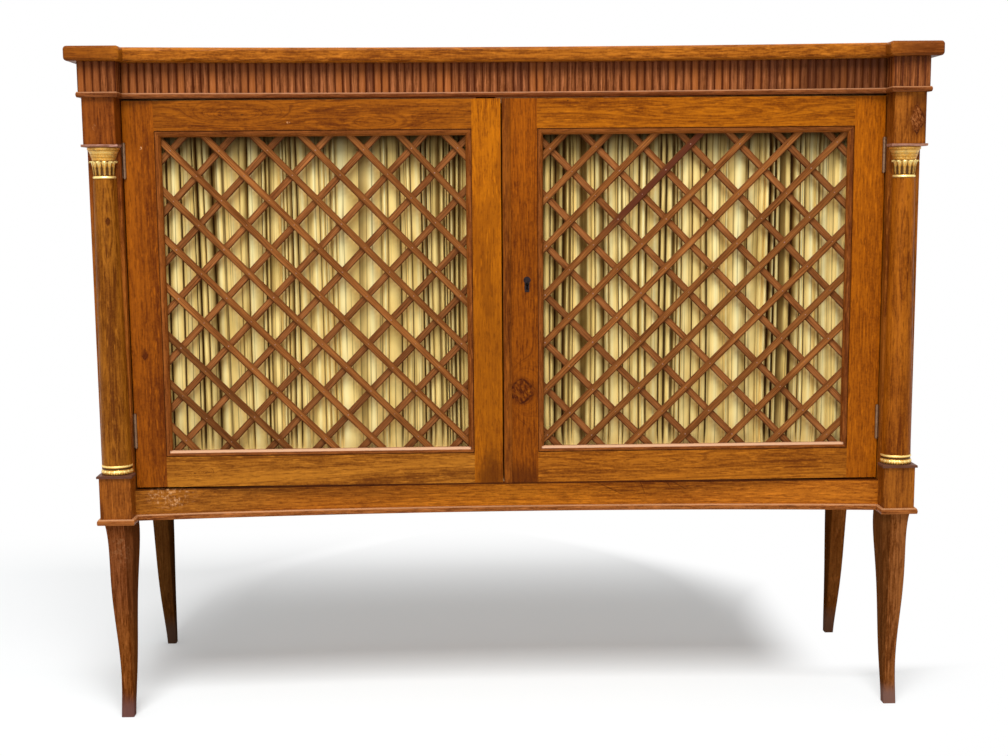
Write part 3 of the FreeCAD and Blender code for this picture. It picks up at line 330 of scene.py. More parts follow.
def wood(name, tone, grain="Z", seed=0, pitch=22.0, bend=12.0, tilt=0.04, figure=0.7, streak=0.5, patch=0.5,
         curl=0.0, lines=0.35, knots=(), stains=(), eyes=(), joints=(), scratches=(), scuffs=(), washes=(),
         worm=0.0, foot=None, reeds=None, mitre=None, edge=None, door_shadow=None, upper=None, shade=None,
         polish=1.0, shine=1.0):
    """A wood whose grain runs along one axis. Pitch of the broadest figure and bend of the grain are in
    millimetres. Knots, stains, eyes, scuffs and washes are ellipses in X and Z, in metres, joints are places
    along X and scratches are lines from one point to another. A mitred frame takes its grain along each of
    its strips."""
    look = bpy.context.scene.cabinet_wood
    finish = Finish(name)
    point = finish.place()
    xyz = finish.split(point)
    along, across, deep = (xyz[i] for i in AXES[grain])
    if mitre:
        along, across = mitred(finish, xyz, mitre)
        highlight_and_joint = mitre_highlight_and_joint(finish, xyz, mitre)
    a, b, c = 3.7 * seed + 1.3, 2.9 * seed + 0.7, 1.9 * seed + 5.1

    def drawn_out(width, length, drift, **kind):
        """Noise drawn out along the grain, with its scales across and along it"""
        return finish.noise(finish.join(across * width + drift[0], deep * width + drift[1],
                                        along * length + drift[2]), **kind)

    sway = drawn_out(5.0, 1.6, (a, b, c), detail=3.0) - 0.5
    swell = drawn_out(9.0, 2.6, (b, c, a)) - 0.5
    side = across + sway * (2 * bend * MILLI) + HEART[0]
    below = deep + along * tilt + swell * (2 * bend * MILLI) + HEART[1]
    ring = (side * side + below * below) ** 0.5
    fibre = drawn_out(360.0, 24.0, (a, b, c), detail=5.0, rough=0.68)
    growth = ring / (pitch * MILLI) + seed * 11.0
    for spot in eyes:
        rim = finish.ellipse(xyz, spot)
        growth = growth + finish.sum("EXPONENT", rim * rim * -1.0) * spot[4]
    figured = finish.noise_along(growth, detail=5.0, rough=0.62)
    patches = drawn_out(11.0, 4.0, (c, 0.0, b), detail=4.0, rough=0.6)
    value = (figured - 0.5) * figure + (fibre - 0.5) * (1.4 * streak) + (patches - 0.5) * patch + 0.5
    value = value + (finish.noise(point, 330.0) - 0.5) * 0.32
    if curl:
        waves = finish.join(across * 16.0 + sway * 6.0, deep * 16.0 + a, along * 34.0 + swell * 9.0)
        value = value + (finish.noise(waves, detail=3.0) - 0.5) * curl
    dark, low = scaled(tone, 0.40, 0.30, 0.20), scaled(tone, 0.74, 0.68, 0.55)
    light = scaled(tone, 1.32, 1.40, 1.40)
    colour = finish.ramp(value, ((0.22, dark), (0.40, low), (0.52, tone), (0.76, light)))
    late = finish.noise_along(growth * 5.0 + fibre * 0.5)
    colour = finish.blend(finish.step(late, 0.56, 0.70) * lines, colour, scaled(tone, 0.42, 0.32, 0.22))
    pores = finish.step(drawn_out(350.0, 64.0, (0.0, a, 0.0), detail=3.0), 0.54, 0.68)
    colour = finish.blend(pores * 0.48, colour, scaled(tone, 0.36, 0.27, 0.18))
    pale = finish.step(drawn_out(320.0, 46.0, (0.0, b, c), detail=3.0), 0.56, 0.72)
    colour = finish.blend(pale * 0.55, colour, scaled(tone, 1.75, 1.90, 2.3))
    # A painted highlight on the lip of the frame's lower strip, and its dark outer joint
    if mitre:
        colour = finish.blend(highlight_and_joint[0], colour, tint(214, 168, 132))
        colour = finish.blend(highlight_and_joint[1], colour, scaled(tone, 0.20, 0.10, 0.08))
    # A painted highlight line at one height, along the top of a moulding
    if edge:
        line = finish.step(finish.sum("ABSOLUTE", xyz[2] - edge[0]), edge[1], 0.5 * edge[1])
        colour = finish.blend(line * edge[2], colour, tint(205, 150, 105))
    # A painted shadow along the top of a rail's front, where the door above overhangs it
    if door_shadow:
        level = xyz[2] + (xyz[1] - door_shadow[0]) * 0.12
        colour = finish.blend(finish.step(level, door_shadow[1] - 0.0014, door_shadow[1] - 0.0004) * 0.85, colour,
                              scaled(tone, 0.13, 0.06, 0.04))
    if reeds:
        colour = reed_tones(finish, colour, xyz, tone, reeds)
    if upper:
        above = finish.step(xyz[2], upper[0] - upper[1], upper[0] + upper[1])
        colour = finish.blend(above, colour, upper[2], "MULTIPLY")
    for spot in washes:
        rim = finish.ellipse(xyz, spot)
        colour = finish.blend(1 - finish.step(rim, 0.2, 1.0), colour, spot[4], "MULTIPLY")
    for place in joints:
        line = finish.step(finish.sum("ABSOLUTE", xyz[0] - place), 2.0 * MILLI, 0.9 * MILLI)
        colour = finish.blend(line * 0.75, colour, scaled(tone, 0.22, 0.12, 0.10))
    for spot in scuffs:
        rim = finish.ellipse(xyz, spot)
        rubs = finish.step(finish.noise(point, 170.0, 4.0, 0.7), 0.48, 0.66)
        colour = finish.blend((1 - finish.step(rim, 0.6, 1.1)) * rubs * spot[4], colour, tint(226, 170, 118))
    for ends in scratches:
        colour = scratched(finish, colour, xyz, tone, ends)
    # Painted shade on the inner face of a leg
    if shade:
        colour = shaded(finish, colour, xyz, tone, shade)
    for spot in knots:
        colour = knotted(finish, colour, point, xyz, tone, spot)
    for spot in stains:
        rim = finish.ellipse(xyz, spot) + (finish.noise(point, 60.0) - 0.5) * 0.5
        colour = finish.blend((1 - finish.step(rim, 0.35, 1.1)) * spot[4], colour,
                              scaled(tone, 0.26, 0.20, 0.16))
    if foot:
        height = xyz[2] + (finish.noise(point, 40.0) - 0.5) * 0.02
        colour = finish.blend((1 - finish.step(height, foot[0], foot[1])) * 0.85, colour,
                              scaled(tone, 0.80, 1.30, 4.2))
    if worm:
        colour = wormed(finish, colour, point, tone, worm)
    rough = (0.5 - fibre) * 0.2 + pores * 0.15 + look.gloss * polish
    return finish.surface({"Base Color": colour, "Roughness": rough, "Coat Weight": look.varnish * shine / polish,
                           "Coat Roughness": 0.28, "Specular IOR Level": look.shine * shine},
                          height=fibre * 0.6 + figured * 0.3 - pores * 0.8, depth=0.0002)


def to_edges(finish, xyz, box):
    """How far a point lies inside the sides and the ends of a frame, given by its left, right, lower and
    upper edge"""
    left, right, bottom, top = box
    return ((right - left) / 2 - finish.sum("ABSOLUTE", xyz[0] - (left + right) / 2),
            (top - bottom) / 2 - finish.sum("ABSOLUTE", xyz[2] - (bottom + top) / 2))


def mitred(finish, xyz, box):
    """Grain along the strips of a mitred frame"""
    from_side, from_end = to_edges(finish, xyz, box)
    level = finish.sum("LESS_THAN", from_end, from_side)
    return (xyz[0] * level + xyz[2] * (1 - level), xyz[2] * level + xyz[0] * (1 - level))


def scratched(finish, colour, xyz, tone, ends):
    """A thin dark scratch from one point to another, as x, z, x, z"""
    run, rise = ends[2] - ends[0], ends[3] - ends[1]
    share = ((xyz[0] - ends[0]) * run + (xyz[2] - ends[1]) * rise) / (run * run + rise * rise)
    share = finish.sum("MINIMUM", finish.sum("MAXIMUM", share, 0.0), 1.0)
    across, up = xyz[0] - ends[0] - share * run, xyz[2] - ends[1] - share * rise
    near = finish.step((across * across + up * up) ** 0.5, 0.9 * MILLI, 0.3 * MILLI)
    return finish.blend(near * 0.6, colour, scaled(tone, 0.16, 0.10, 0.06))


def shaded(finish, colour, xyz, tone, shade):
    """Painted shade on the inner face of a tapering leg; shade is the face's x at the top, its x at the foot, the
    height of the top and the amount"""
    top, foot, height, amount = shade
    beyond = (xyz[0] - foot - xyz[2] * ((top - foot) / height)) * (1.0 if top < 0 else -1.0)
    return finish.blend(finish.step(beyond, -1.0 * MILLI, 0.6 * MILLI) * amount, colour,
                        scaled(tone, 0.22, 0.20, 0.16))


def mitre_highlight_and_joint(finish, xyz, box):
    """Where the lip of a mitred frame gets a painted highlight along its lower strip, and where its outer joint is
    dark
    """
    left, right, bottom, _ = box
    # The painted highlight along the lip of the lower strip
    low = finish.step(finish.sum("ABSOLUTE", xyz[2] - (bottom + 7.6 * MILLI)), 2.2 * MILLI, 1.2 * MILLI)
    end = (right - left) / 2 - 7.0 * MILLI
    within = finish.step(finish.sum("ABSOLUTE", xyz[0] - (left + right) / 2), end + 0.002, end)
    rim = finish.step(finish.sum("MINIMUM", *to_edges(finish, xyz, box)), 1.9 * MILLI, 0.7 * MILLI)
    return low * within * 0.85, rim * 0.7


def knotted(finish, colour, point, xyz, tone, spot):
    """A knot: mottled wood with torn dark spots and a broken dark rim, between two pointed ends; spot ends in
    how pale the middle is"""
    across = finish.sum("ABSOLUTE", (xyz[0] - spot[0]) / spot[2])
    up = (xyz[2] - spot[1]) / spot[3]
    rim = across + up * up + (finish.noise(point, 70.0, 3.0) - 0.5) * 0.9
    inside = 1 - finish.step(rim, 0.80, 1.10)
    leaning = finish.join(xyz[0] * 210.0 + xyz[2] * 50.0, xyz[1] * 210.0, xyz[2] * 120.0)
    mottle = finish.noise(leaning, detail=5.0, rough=0.75)
    middle = finish.ramp(mottle, ((0.36, scaled(tone, 0.12, 0.08, 0.06)), (0.47, scaled(tone, 0.50, 0.40, 0.50)),
                                  (0.56, scaled(tone, 1.0, 1.05, 2.6)), (0.66, scaled(tone, 1.8, 2.5, 8.0))))
    middle = finish.blend(1 - spot[4], middle, scaled(tone, 0.34, 0.24, 0.20))
    halo = 1 - finish.step(rim, 1.0, 2.0)
    colour = finish.blend(halo * 0.60, colour, scaled(tone, 0.40, 0.30, 0.22))
    colour = finish.blend(inside * 0.95, colour, middle)
    broken = finish.step(finish.noise(point, 120.0, 3.0), 0.42, 0.56)
    border = finish.step(finish.sum("ABSOLUTE", rim - 0.98), 0.22, 0.06)
    return finish.blend(border * broken * 0.85, colour, scaled(tone, 0.16, 0.09, 0.06))


def wormed(finish, colour, point, tone, share):
    """Small dark holes, in a share of the cells of a Voronoi pattern"""
    holes = finish.node("ShaderNodeTexVoronoi", {"feature": "F1"}, {"Vector": point, "Scale": 95.0})
    parts = finish.node("ShaderNodeSeparateColor", None, {0: holes.outputs["Color"]})
    chosen = finish.step(Number(finish, parts.outputs[0]), 1 - share, 1 - 0.8 * share)
    near = 1 - finish.step(Number(finish, holes.outputs["Distance"]), 0.06, 0.11)
    return finish.blend(near * chosen, colour, scaled(tone, 0.07, 0.05, 0.04))


def reed_tones(finish, colour, xyz, tone, reeds):
    """Gives every reed its own tone, pale rubbed streaks that are strongest on the crests as wear and painted
    highlight, painted shade in the grooves between them and a painted shadow on the upper end, under the top
    board. Reeds are numbered along X from start with the given pitch, or along Y where they lie on a side."""
    start, pitch, radius = reeds["start"] * MILLI, reeds["pitch"] * MILLI, reeds.get("radius")
    run = xyz[0]
    if radius:
        run = finish.sum("ARCSINE", run / (radius * MILLI)) * (radius * MILLI)
    count = (run - start) / pitch
    if "side_y" in reeds:
        first, side_pitch = reeds["side_y"][0] * MILLI, reeds["side_y"][1] * MILLI
        turned = finish.sum("GREATER_THAN", xyz[1], first + 0.0001)
        count = count * (1 - turned) + (xyz[1] - first) / side_pitch * turned
    number = finish.sum("FLOOR", count)
    part = count - number
    chance = finish.node("ShaderNodeTexWhiteNoise", {"noise_dimensions": "1D"}, {"W": number + 0.5})
    own = Number(finish, chance.outputs["Value"])
    group = finish.noise_along(number * 0.31, detail=1.0)
    purple = finish.step(group * 0.6 + own * 0.4, 0.52, 0.64)
    colour = finish.blend(purple * 0.60, colour, scaled(tone, 0.46, 0.42, 0.62))
    pale = finish.step(own * 0.7 - group * 0.5, 0.16, 0.38)
    colour = finish.blend(pale * 0.60, colour, scaled(tone, 1.80, 1.75, 1.20))
    # Pale rubbed streaks, strongest on the crests, where they are also a painted highlight
    rub = finish.join(run * 620.0, number * 0.37, xyz[2] * 22.0)
    rubbed = finish.step(finish.noise(rub, detail=4.0, rough=0.65), 0.46, 0.66)
    side = finish.sum("ABSOLUTE", part - 0.42)
    crest = finish.step(side + (own - 0.5) * 0.2, 0.26, 0.08)
    colour = finish.blend(rubbed * (0.25 + crest * 0.55), colour, scaled(tone, 2.3, 2.6, 3.3))
    # Painted shade in the grooves between the reeds
    edge = finish.step(finish.sum("ABSOLUTE", part - 0.5) + (rubbed - 0.5) * -0.07, 0.28, 0.49)
    colour = finish.blend(edge * (0.70 + own * 0.25), colour, scaled(tone, 0.26, 0.12, 0.06))
    # Painted shadow of the top board on the upper end of the reeds
    top = finish.step(xyz[2], reeds["level"] * MILLI - 0.034, reeds["level"] * MILLI)
    return finish.blend(top * 0.55, colour, scaled(tone, 0.34, 0.22, 0.18))


def finish_node(name, material):
    for material_slot in nodes[name].material_slots:
        material_slot.material = material


def finish_woods(woods, first_seed):
    """A wood of its own for each node in a table"""
    for seed, (name, sizes) in enumerate(woods.items(), first_seed):
        finish_node(name, wood("wood_" + name, seed=seed, **sizes))


def world_points(name):
    """The vertices of a node, in metres"""
    piece = nodes[name]
    return np.array([piece.matrix_world @ vertex.co for vertex in piece.data.vertices])


# Meshes

def new_piece(name, points, faces, body, material, smooth=True):
    mesh = bpy.data.meshes.new(name)
    mesh.from_pydata([tuple(p) for p in points], [], [tuple(int(i) for i in f) for f in faces])
    mesh.update()
    return place_piece(name, mesh, body, material, smooth)


def place_piece(name, mesh, body, material, smooth=True):
    piece = bpy.data.objects.new(name, mesh)
    bpy.context.scene.collection.objects.link(piece)
    mesh.materials.clear()
    mesh.materials.append(material)
    mesh.polygons.foreach_set("use_smooth", [smooth] * len(mesh.polygons))
    mesh.update()
    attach(piece, body)
    return piece


def set_cloth(mesh, name, places):
    """A UV map from a place for each vertex"""
    corner = np.empty(len(mesh.loops), dtype=np.int32)
    mesh.loops.foreach_get("vertex_index", corner)
    uv = mesh.uv_layers.new(name=name)
    uv.data.foreach_set("uv", places[corner].astype(np.float32).ravel())


def set_values(mesh, name, values):
    attribute = mesh.attributes.new(name, "FLOAT", "POINT")
    attribute.data.foreach_set("value", np.asarray(values, dtype=np.float32))


def grid_faces(rows, columns, closed=False):
    """Quads between neighbouring points of a grid stored row by row"""
    faces = []
    for i in range(rows - 1):
        for j in range(columns if closed else columns - 1):
            k = (j + 1) % columns
            faces.append((i * columns + j, i * columns + k, (i + 1) * columns + k, (i + 1) * columns + j))
    return faces


def grown(name, mesh, tree, inputs, modifiers=()):
    """The plain mesh that a Geometry Nodes tree makes from a mesh"""
    carrier = bpy.data.objects.new(name + "_carrier", mesh)
    bpy.context.scene.collection.objects.link(carrier)
    for kind, settings in modifiers:
        modifier = carrier.modifiers.new(kind.lower(), kind)
        for key, value in settings.items():
            setattr(modifier, key, value)
    modifier = carrier.modifiers.new("grow", "NODES")
    modifier.node_group = tree
    for item in tree.interface.items_tree:
        if item.item_type == "SOCKET" and item.in_out == "INPUT" and item.name in inputs:
            modifier[item.identifier] = inputs[item.name]
    bpy.context.view_layer.update()
    graph = bpy.context.evaluated_depsgraph_get()
    result = bpy.data.meshes.new_from_object(carrier.evaluated_get(graph))
    bpy.data.objects.remove(carrier)
    result.name = name
    return result


def geometry_tree(name, inputs):
    """A Geometry Nodes tree with its named inputs; returns the builder and the group's two ends"""
    group = bpy.data.node_groups.new(name, "GeometryNodeTree")
    group.interface.new_socket("Geometry", in_out="INPUT", socket_type="NodeSocketGeometry")
    for label, kind, default in inputs:
        socket = group.interface.new_socket(label, in_out="INPUT", socket_type=kind)
        if default is not None:
            socket.default_value = default
    group.interface.new_socket("Geometry", in_out="OUTPUT", socket_type="NodeSocketGeometry")
    tree = Tree(group)
    return tree, tree.node("NodeGroupInput").outputs


def end_tree(tree, geometry, material):
    real = tree.node("GeometryNodeRealizeInstances", None, {0: geometry}).outputs[0]
    finished = tree.node("GeometryNodeSetMaterial", None, {0: real, 2: material}).outputs[0]
    tree.node("NodeGroupOutput", None, {0: finished})
    return tree.tree


# Half width of the floor, and how much the floor shines by itself to the camera
FLOOR_REACH = 9.0
FLOOR_LIFT = 0.15
# Place and size of the two lamps, and the point at which they aim
KEY_LAMP = ((-0.25, -2.30, 4.15), 1.9)
LOW_LAMP = ((-1.0, -3.6, 1.2), 2.4)
LAMP_AIM = Vector((0, 0, 0.5))
# Seeds of the doors' woods, the slats and the folds
DOOR_SEED = 31
SLAT_SEED = 60
FOLD_SEED = 40


# Operators

class CABINET_OT_stage(bpy.types.Operator):
    """Pale floor, soft lamps and the camera"""
    bl_idname = "cabinet.stage"
    bl_label = "Stage"

    def execute(self, context):
        look = context.scene.cabinet_stage
        self.make_camera(context, look)
        self.make_floor(context, look)
        self.make_world(context, look)
        self.make_lamp(context, "key_lamp", *KEY_LAMP, look.key_power)
        self.make_lamp(context, "low_lamp", *LOW_LAMP, look.fill_power)
        context.scene.view_settings.view_transform = "Standard"
        return {"FINISHED"}

    @staticmethod
    def make_camera(context, look):
        camera = bpy.data.objects.new("camera", bpy.data.cameras.new("camera"))
        context.scene.collection.objects.link(camera)
        pitch, roll, yaw = look.camera_turn
        camera.matrix_world = (Matrix.Translation(look.camera_place) @ Matrix.Rotation(yaw, 4, "Z")
                               @ Matrix.Rotation(pitch, 4, "X") @ Matrix.Rotation(roll, 4, "Y")
                               @ Matrix.Rotation(math.pi / 2, 4, "X"))
        camera.data.lens = look.lens
        camera.data.shift_x, camera.data.shift_y = look.shift
        context.scene.camera = camera

    @staticmethod
    def make_floor(context, look):
        """A pale floor that is plain white to the camera, but for the soft shadow under the cabinet"""
        mesh = bpy.data.meshes.new("floor")
        mesh.from_pydata([(x * FLOOR_REACH, y * FLOOR_REACH, 0) for x, y in ((-1, -1), (1, -1), (1, 1), (-1, 1))],
                         [], [(0, 1, 2, 3)])
        floor = bpy.data.objects.new("floor", mesh)
        context.scene.collection.objects.link(floor)
        finish = Finish("floor")
        seen = finish.seen()
        x, y, _ = finish.split(finish.place())
        across, back = (x + 0.06) * 1.22, (y - 0.3) * 1.3
        far = finish.step((across * across + back * back) ** 0.5, 0.78, 1.26)
        behind = finish.sum("MAXIMUM", y - 0.2, 0.0)
        beside = finish.sum("ABSOLUTE", x + 0.05) + behind * behind * 0.9
        beside = finish.step(beside, 0.47, 0.76) * finish.step(y, -0.02, 0.12)
        far = finish.sum("MAXIMUM", far, beside)
        left = x * -1.0
        veil = finish.step(left, 0.25, 0.65) * finish.step(left, 1.90, 1.30) * finish.step(y, -0.50, -0.10)
        far = far * (1 - veil * 0.55)
        far = finish.sum("MAXIMUM", far, finish.step(y, 0.36, 1.12))
        far = finish.sum("MAXIMUM", far, finish.step(x, 0.43, 0.58) * finish.step(y, -0.08, 0.02))
        paint = opaque(scaled((look.floor_tone,) * 3, 0.965, 0.995, 1.005))
        plain = finish.node("ShaderNodeBsdfDiffuse", None, {"Color": paint}).outputs[0]
        lift, white = (finish.node("ShaderNodeEmission", None, {"Color": WHITE, "Strength": strength}).outputs[0]
                       for strength in (FLOOR_LIFT, 1.0))
        lifted = finish.node("ShaderNodeAddShader", None, {0: plain, 1: lift}).outputs[0]
        near = finish.node("ShaderNodeMixShader", None, {0: seen, 1: plain, 2: lifted}).outputs[0]
        whole = finish.node("ShaderNodeMixShader", None, {0: far * seen, 1: near, 2: white}).outputs[0]
        finish.node("ShaderNodeOutputMaterial", None, {"Surface": whole})
        mesh.materials.append(finish.material)

    @staticmethod
    def make_world(context, look):
        world = bpy.data.worlds.new("studio")
        world.use_nodes = True
        context.scene.world = world
        tree = Tree(world.node_tree)
        world.node_tree.nodes.clear()
        strength = tree.seen() * (1 - look.sky) + look.sky
        light = tree.node("ShaderNodeBackground", None, {"Color": WHITE, "Strength": strength})
        tree.node("ShaderNodeOutputWorld", None, {"Surface": light.outputs[0]})

    @staticmethod
    def make_lamp(context, name, place, size, power):
        data = bpy.data.lights.new(name, "AREA")
        data.shape = "SQUARE"
        data.size = size
        data.energy = power
        lamp = bpy.data.objects.new(name, data)
        context.scene.collection.objects.link(lamp)
        lamp.location = place
        aim = LAMP_AIM - Vector(place)
        lamp.rotation_euler = aim.to_track_quat("-Z", "Y").to_euler()


# Small holes of the base rail as ellipses, and its scratches from point to point
RAIL_HOLES = ((-0.4672, 0.3556, 0.0030, 0.0016, 0.95), (-0.3701, 0.3616, 0.0028, 0.0014, 0.95),
              (-0.3138, 0.3607, 0.0040, 0.0012, 0.7), (0.2283, 0.3641, 0.0030, 0.0016, 0.95),
              (0.2696, 0.3636, 0.0030, 0.0013, 0.95))
RAIL_SCRATCHES = ((0.2093, 0.3676, 0.2190, 0.3417), (0.2473, 0.3671, 0.2602, 0.3508),
                  (0.2617, 0.3604, 0.2856, 0.3472), (0.1428, 0.3589, 0.1841, 0.3390))


def inner_face(name, amount):
    """Where the inner face of a leg lies: its x at the top, its x at the foot, the height of the top"""
    points = world_points(name)
    top, foot = points[:, 2].max(), points[:, 2].min()
    inner = max if points[0, 0] < 0 else min
    return (inner(points[points[:, 2] > top - MILLI, 0]), inner(points[points[:, 2] < foot + MILLI, 0]),
            top - foot, amount)


class CABINET_OT_case_woods(bpy.types.Operator):
    """Woods of the case: top, posts, rails, reeding, mouldings, columns and legs"""
    bl_idname = "cabinet.case_woods"
    bl_label = "Case woods"

    def execute(self, context):
        look = context.scene.cabinet_wood
        top, case, reed = tuple(look.top), tuple(look.case), tuple(look.reed)
        leg, inside = tuple(look.leg), tuple(look.inside)
        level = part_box("frieze_reeding_front")[1].z / MILLI
        front = {"start": -586.9, "pitch": 11.98, "radius": 5630.0, "level": level}
        corner = {"start": -643.0, "pitch": 11.4, "side_y": (-195.5, 12.14), "level": level}
        ends = ((-0.665, 1.03, 0.11, 0.2, 0.53), (0.665, 1.03, 0.12, 0.2, 0.70))
        # A darker patch at the top of the base rail, below the meeting stiles
        dark_patch = (-0.020, 0.366, 0.050, 0.009, 0.62)
        lower_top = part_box("base_moulding")[1].z
        upper_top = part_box("frieze_moulding")[1].z
        rail_low, rail_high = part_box("base_rail_front")
        woods = {
            "top_board": dict(
                tone=top, grain="X", bend=7, tilt=0.012, streak=1.0, stains=ends,
                washes=((0.665, 1.03, 0.12, 0.2, (1.0, 0.88, 2.2)), (-0.665, 1.03, 0.11, 0.2, (0.96, 0.84, 0.55)))),
            "frieze_rail_front": dict(tone=reed, grain="X"),
            "case_rails": dict(tone=case, grain="X"),
            "frieze_reeding_front": dict(
                tone=scaled(reed, 1.12, 1.18, 1.35), pitch=8.0, figure=0.3, streak=1.2, reeds=front,
                stains=((0.55, 0.98, 0.17, 0.09, 0.62),), washes=((0.0, 0.98, 0.42, 0.12, (1.06, 1.08, 1.10)),)),
            "frieze_reeding_corners": dict(tone=reed, pitch=8.0, figure=0.3, streak=1.2, reeds=corner),
            # The edge lines of the two mouldings are painted highlights along their tops
            "frieze_moulding": dict(
                tone=scaled(reed, 0.98, 0.96, 0.90), grain="X", bend=5, figure=0.5, streak=1.1,
                edge=(upper_top - 0.0008, 0.0012, 0.35)),
            "base_moulding": dict(
                tone=scaled(reed, 1.5, 1.6, 1.4), grain="X", bend=5, figure=0.5, streak=1.1,
                edge=(lower_top - 0.0008, 0.0014, 0.55)),
            # The base rail's front gets a painted shadow along its top, under the doors
            "base_rail_front": dict(
                tone=scaled(case, 1.54, 1.70, 1.27), grain="X", pitch=16.0, bend=9, tilt=0.02, figure=0.8,
                streak=0.9, lines=0.5, worm=0.03, scratches=RAIL_SCRATCHES, door_shadow=(rail_low.y, rail_high.z),
                scuffs=((-0.535, 0.352, 0.040, 0.022, 0.6),), stains=(dark_patch, *RAIL_HOLES),
                washes=((0.03, 0.35, 0.30, 0.09, (1.50, 1.58, 1.18)), (-0.52, 0.35, 0.26, 0.09, (0.78, 0.88, 1.25)))),
            "front_post_left": dict(
                tone=scaled(case, 0.98, 1.04, 1.30), bend=8, tilt=0.02, streak=0.9, patch=1.0, curl=0.3,
                upper=(0.80, 0.02, (0.78, 0.66, 0.54)), scuffs=((-0.6211, 0.9252, 0.003, 0.005, 1.0),)),
            "front_post_right": dict(
                tone=scaled(case, 1.03, 1.14, 1.25), bend=12, tilt=-0.02, figure=0.9, patch=0.9, streak=0.9,
                upper=(0.80, 0.02, (1.05, 1.05, 1.1)), knots=((0.6245, 0.928, 0.0105, 0.023, 0.9),),
                stains=((0.640, 0.935, 0.010, 0.05, 0.55), (0.628, 0.957, 0.014, 0.010, 0.7))),
            "back_posts": dict(tone=case),
            "side_panels": dict(
                tone=scaled(case, 1.2, 1.25, 1.1), pitch=34.0, bend=26, tilt=0.09, figure=1.0, streak=0.7),
            "column_left": dict(
                tone=scaled(case, 1.04, 1.28, 1.15), bend=8, figure=0.9, streak=0.9, patch=1.1,
                eyes=((-0.6087, 0.785, 0.009, 0.075, 3.5),), knots=((-0.6087, 0.7837, 0.0028, 0.006, 0.2),)),
            "column_right": dict(
                tone=scaled(case, 1.18, 1.24, 0.78), bend=10, figure=0.9, streak=0.8, patch=1.3,
                eyes=((0.612, 0.72, 0.012, 0.12, 3.0),)),
            "column_plates": dict(
                tone=scaled(tint(176, 122, 94), 0.78, 0.82, 0.95), grain="X", figure=0.5, streak=0.9,
                stains=((0.0, 0.40, 3.0, 0.2, 0.9),)),
            "front_leg_left": dict(
                tone=scaled(leg, 0.98, 0.98, 1.28), bend=8, streak=1.0, patch=1.1, foot=(0.010, 0.045),
                shade=inner_face("front_leg_left", 0.55), shine=0.0,
                washes=((-0.60, 0.10, 0.05, 0.12, (1.25, 1.3, 0.9)),),
                scuffs=((-0.590, 0.075, 0.003, 0.05, 0.9), (-0.61, 0.27, 0.02, 0.03, 0.10))),
            "front_leg_right": dict(
                tone=scaled(leg, 1.26, 1.44, 1.72), bend=8, streak=1.0, patch=1.1, foot=(0.010, 0.04),
                shade=inner_face("front_leg_right", 0.55), shine=0.0),
            "back_leg_left": dict(
                tone=scaled(leg, 0.54, 0.64, 0.63), patch=1.2, foot=(0.02, 0.06),
                shade=inner_face("back_leg_left", 0.7), shine=0.0,
                washes=((-0.53, 0.10, 0.10, 0.20, (0.55, 0.52, 0.5)),)),
            "back_leg_right": dict(
                tone=scaled(leg, 1.12, 1.18, 1.04), patch=1.2, foot=(0.02, 0.06),
                shade=inner_face("back_leg_right", 0.7), shine=0.0,
                washes=((0.53, 0.10, 0.10, 0.20, (0.6, 0.6, 0.6)),)),
            "back_panel": dict(tone=inside, pitch=40.0, bend=30, tilt=0.1, polish=1.7),
            "bottom_board": dict(tone=inside, grain="X", pitch=34.0, bend=24, polish=1.7),
            "shelf": dict(tone=inside, grain="X", pitch=30.0, bend=20, polish=1.7),
            "shelf_cleats": dict(tone=inside, grain="Y", polish=1.7),
            "door_stops": dict(tone=inside, grain="X", polish=1.7),
        }
        finish_woods(woods, 0)
        return {"FINISHED"}


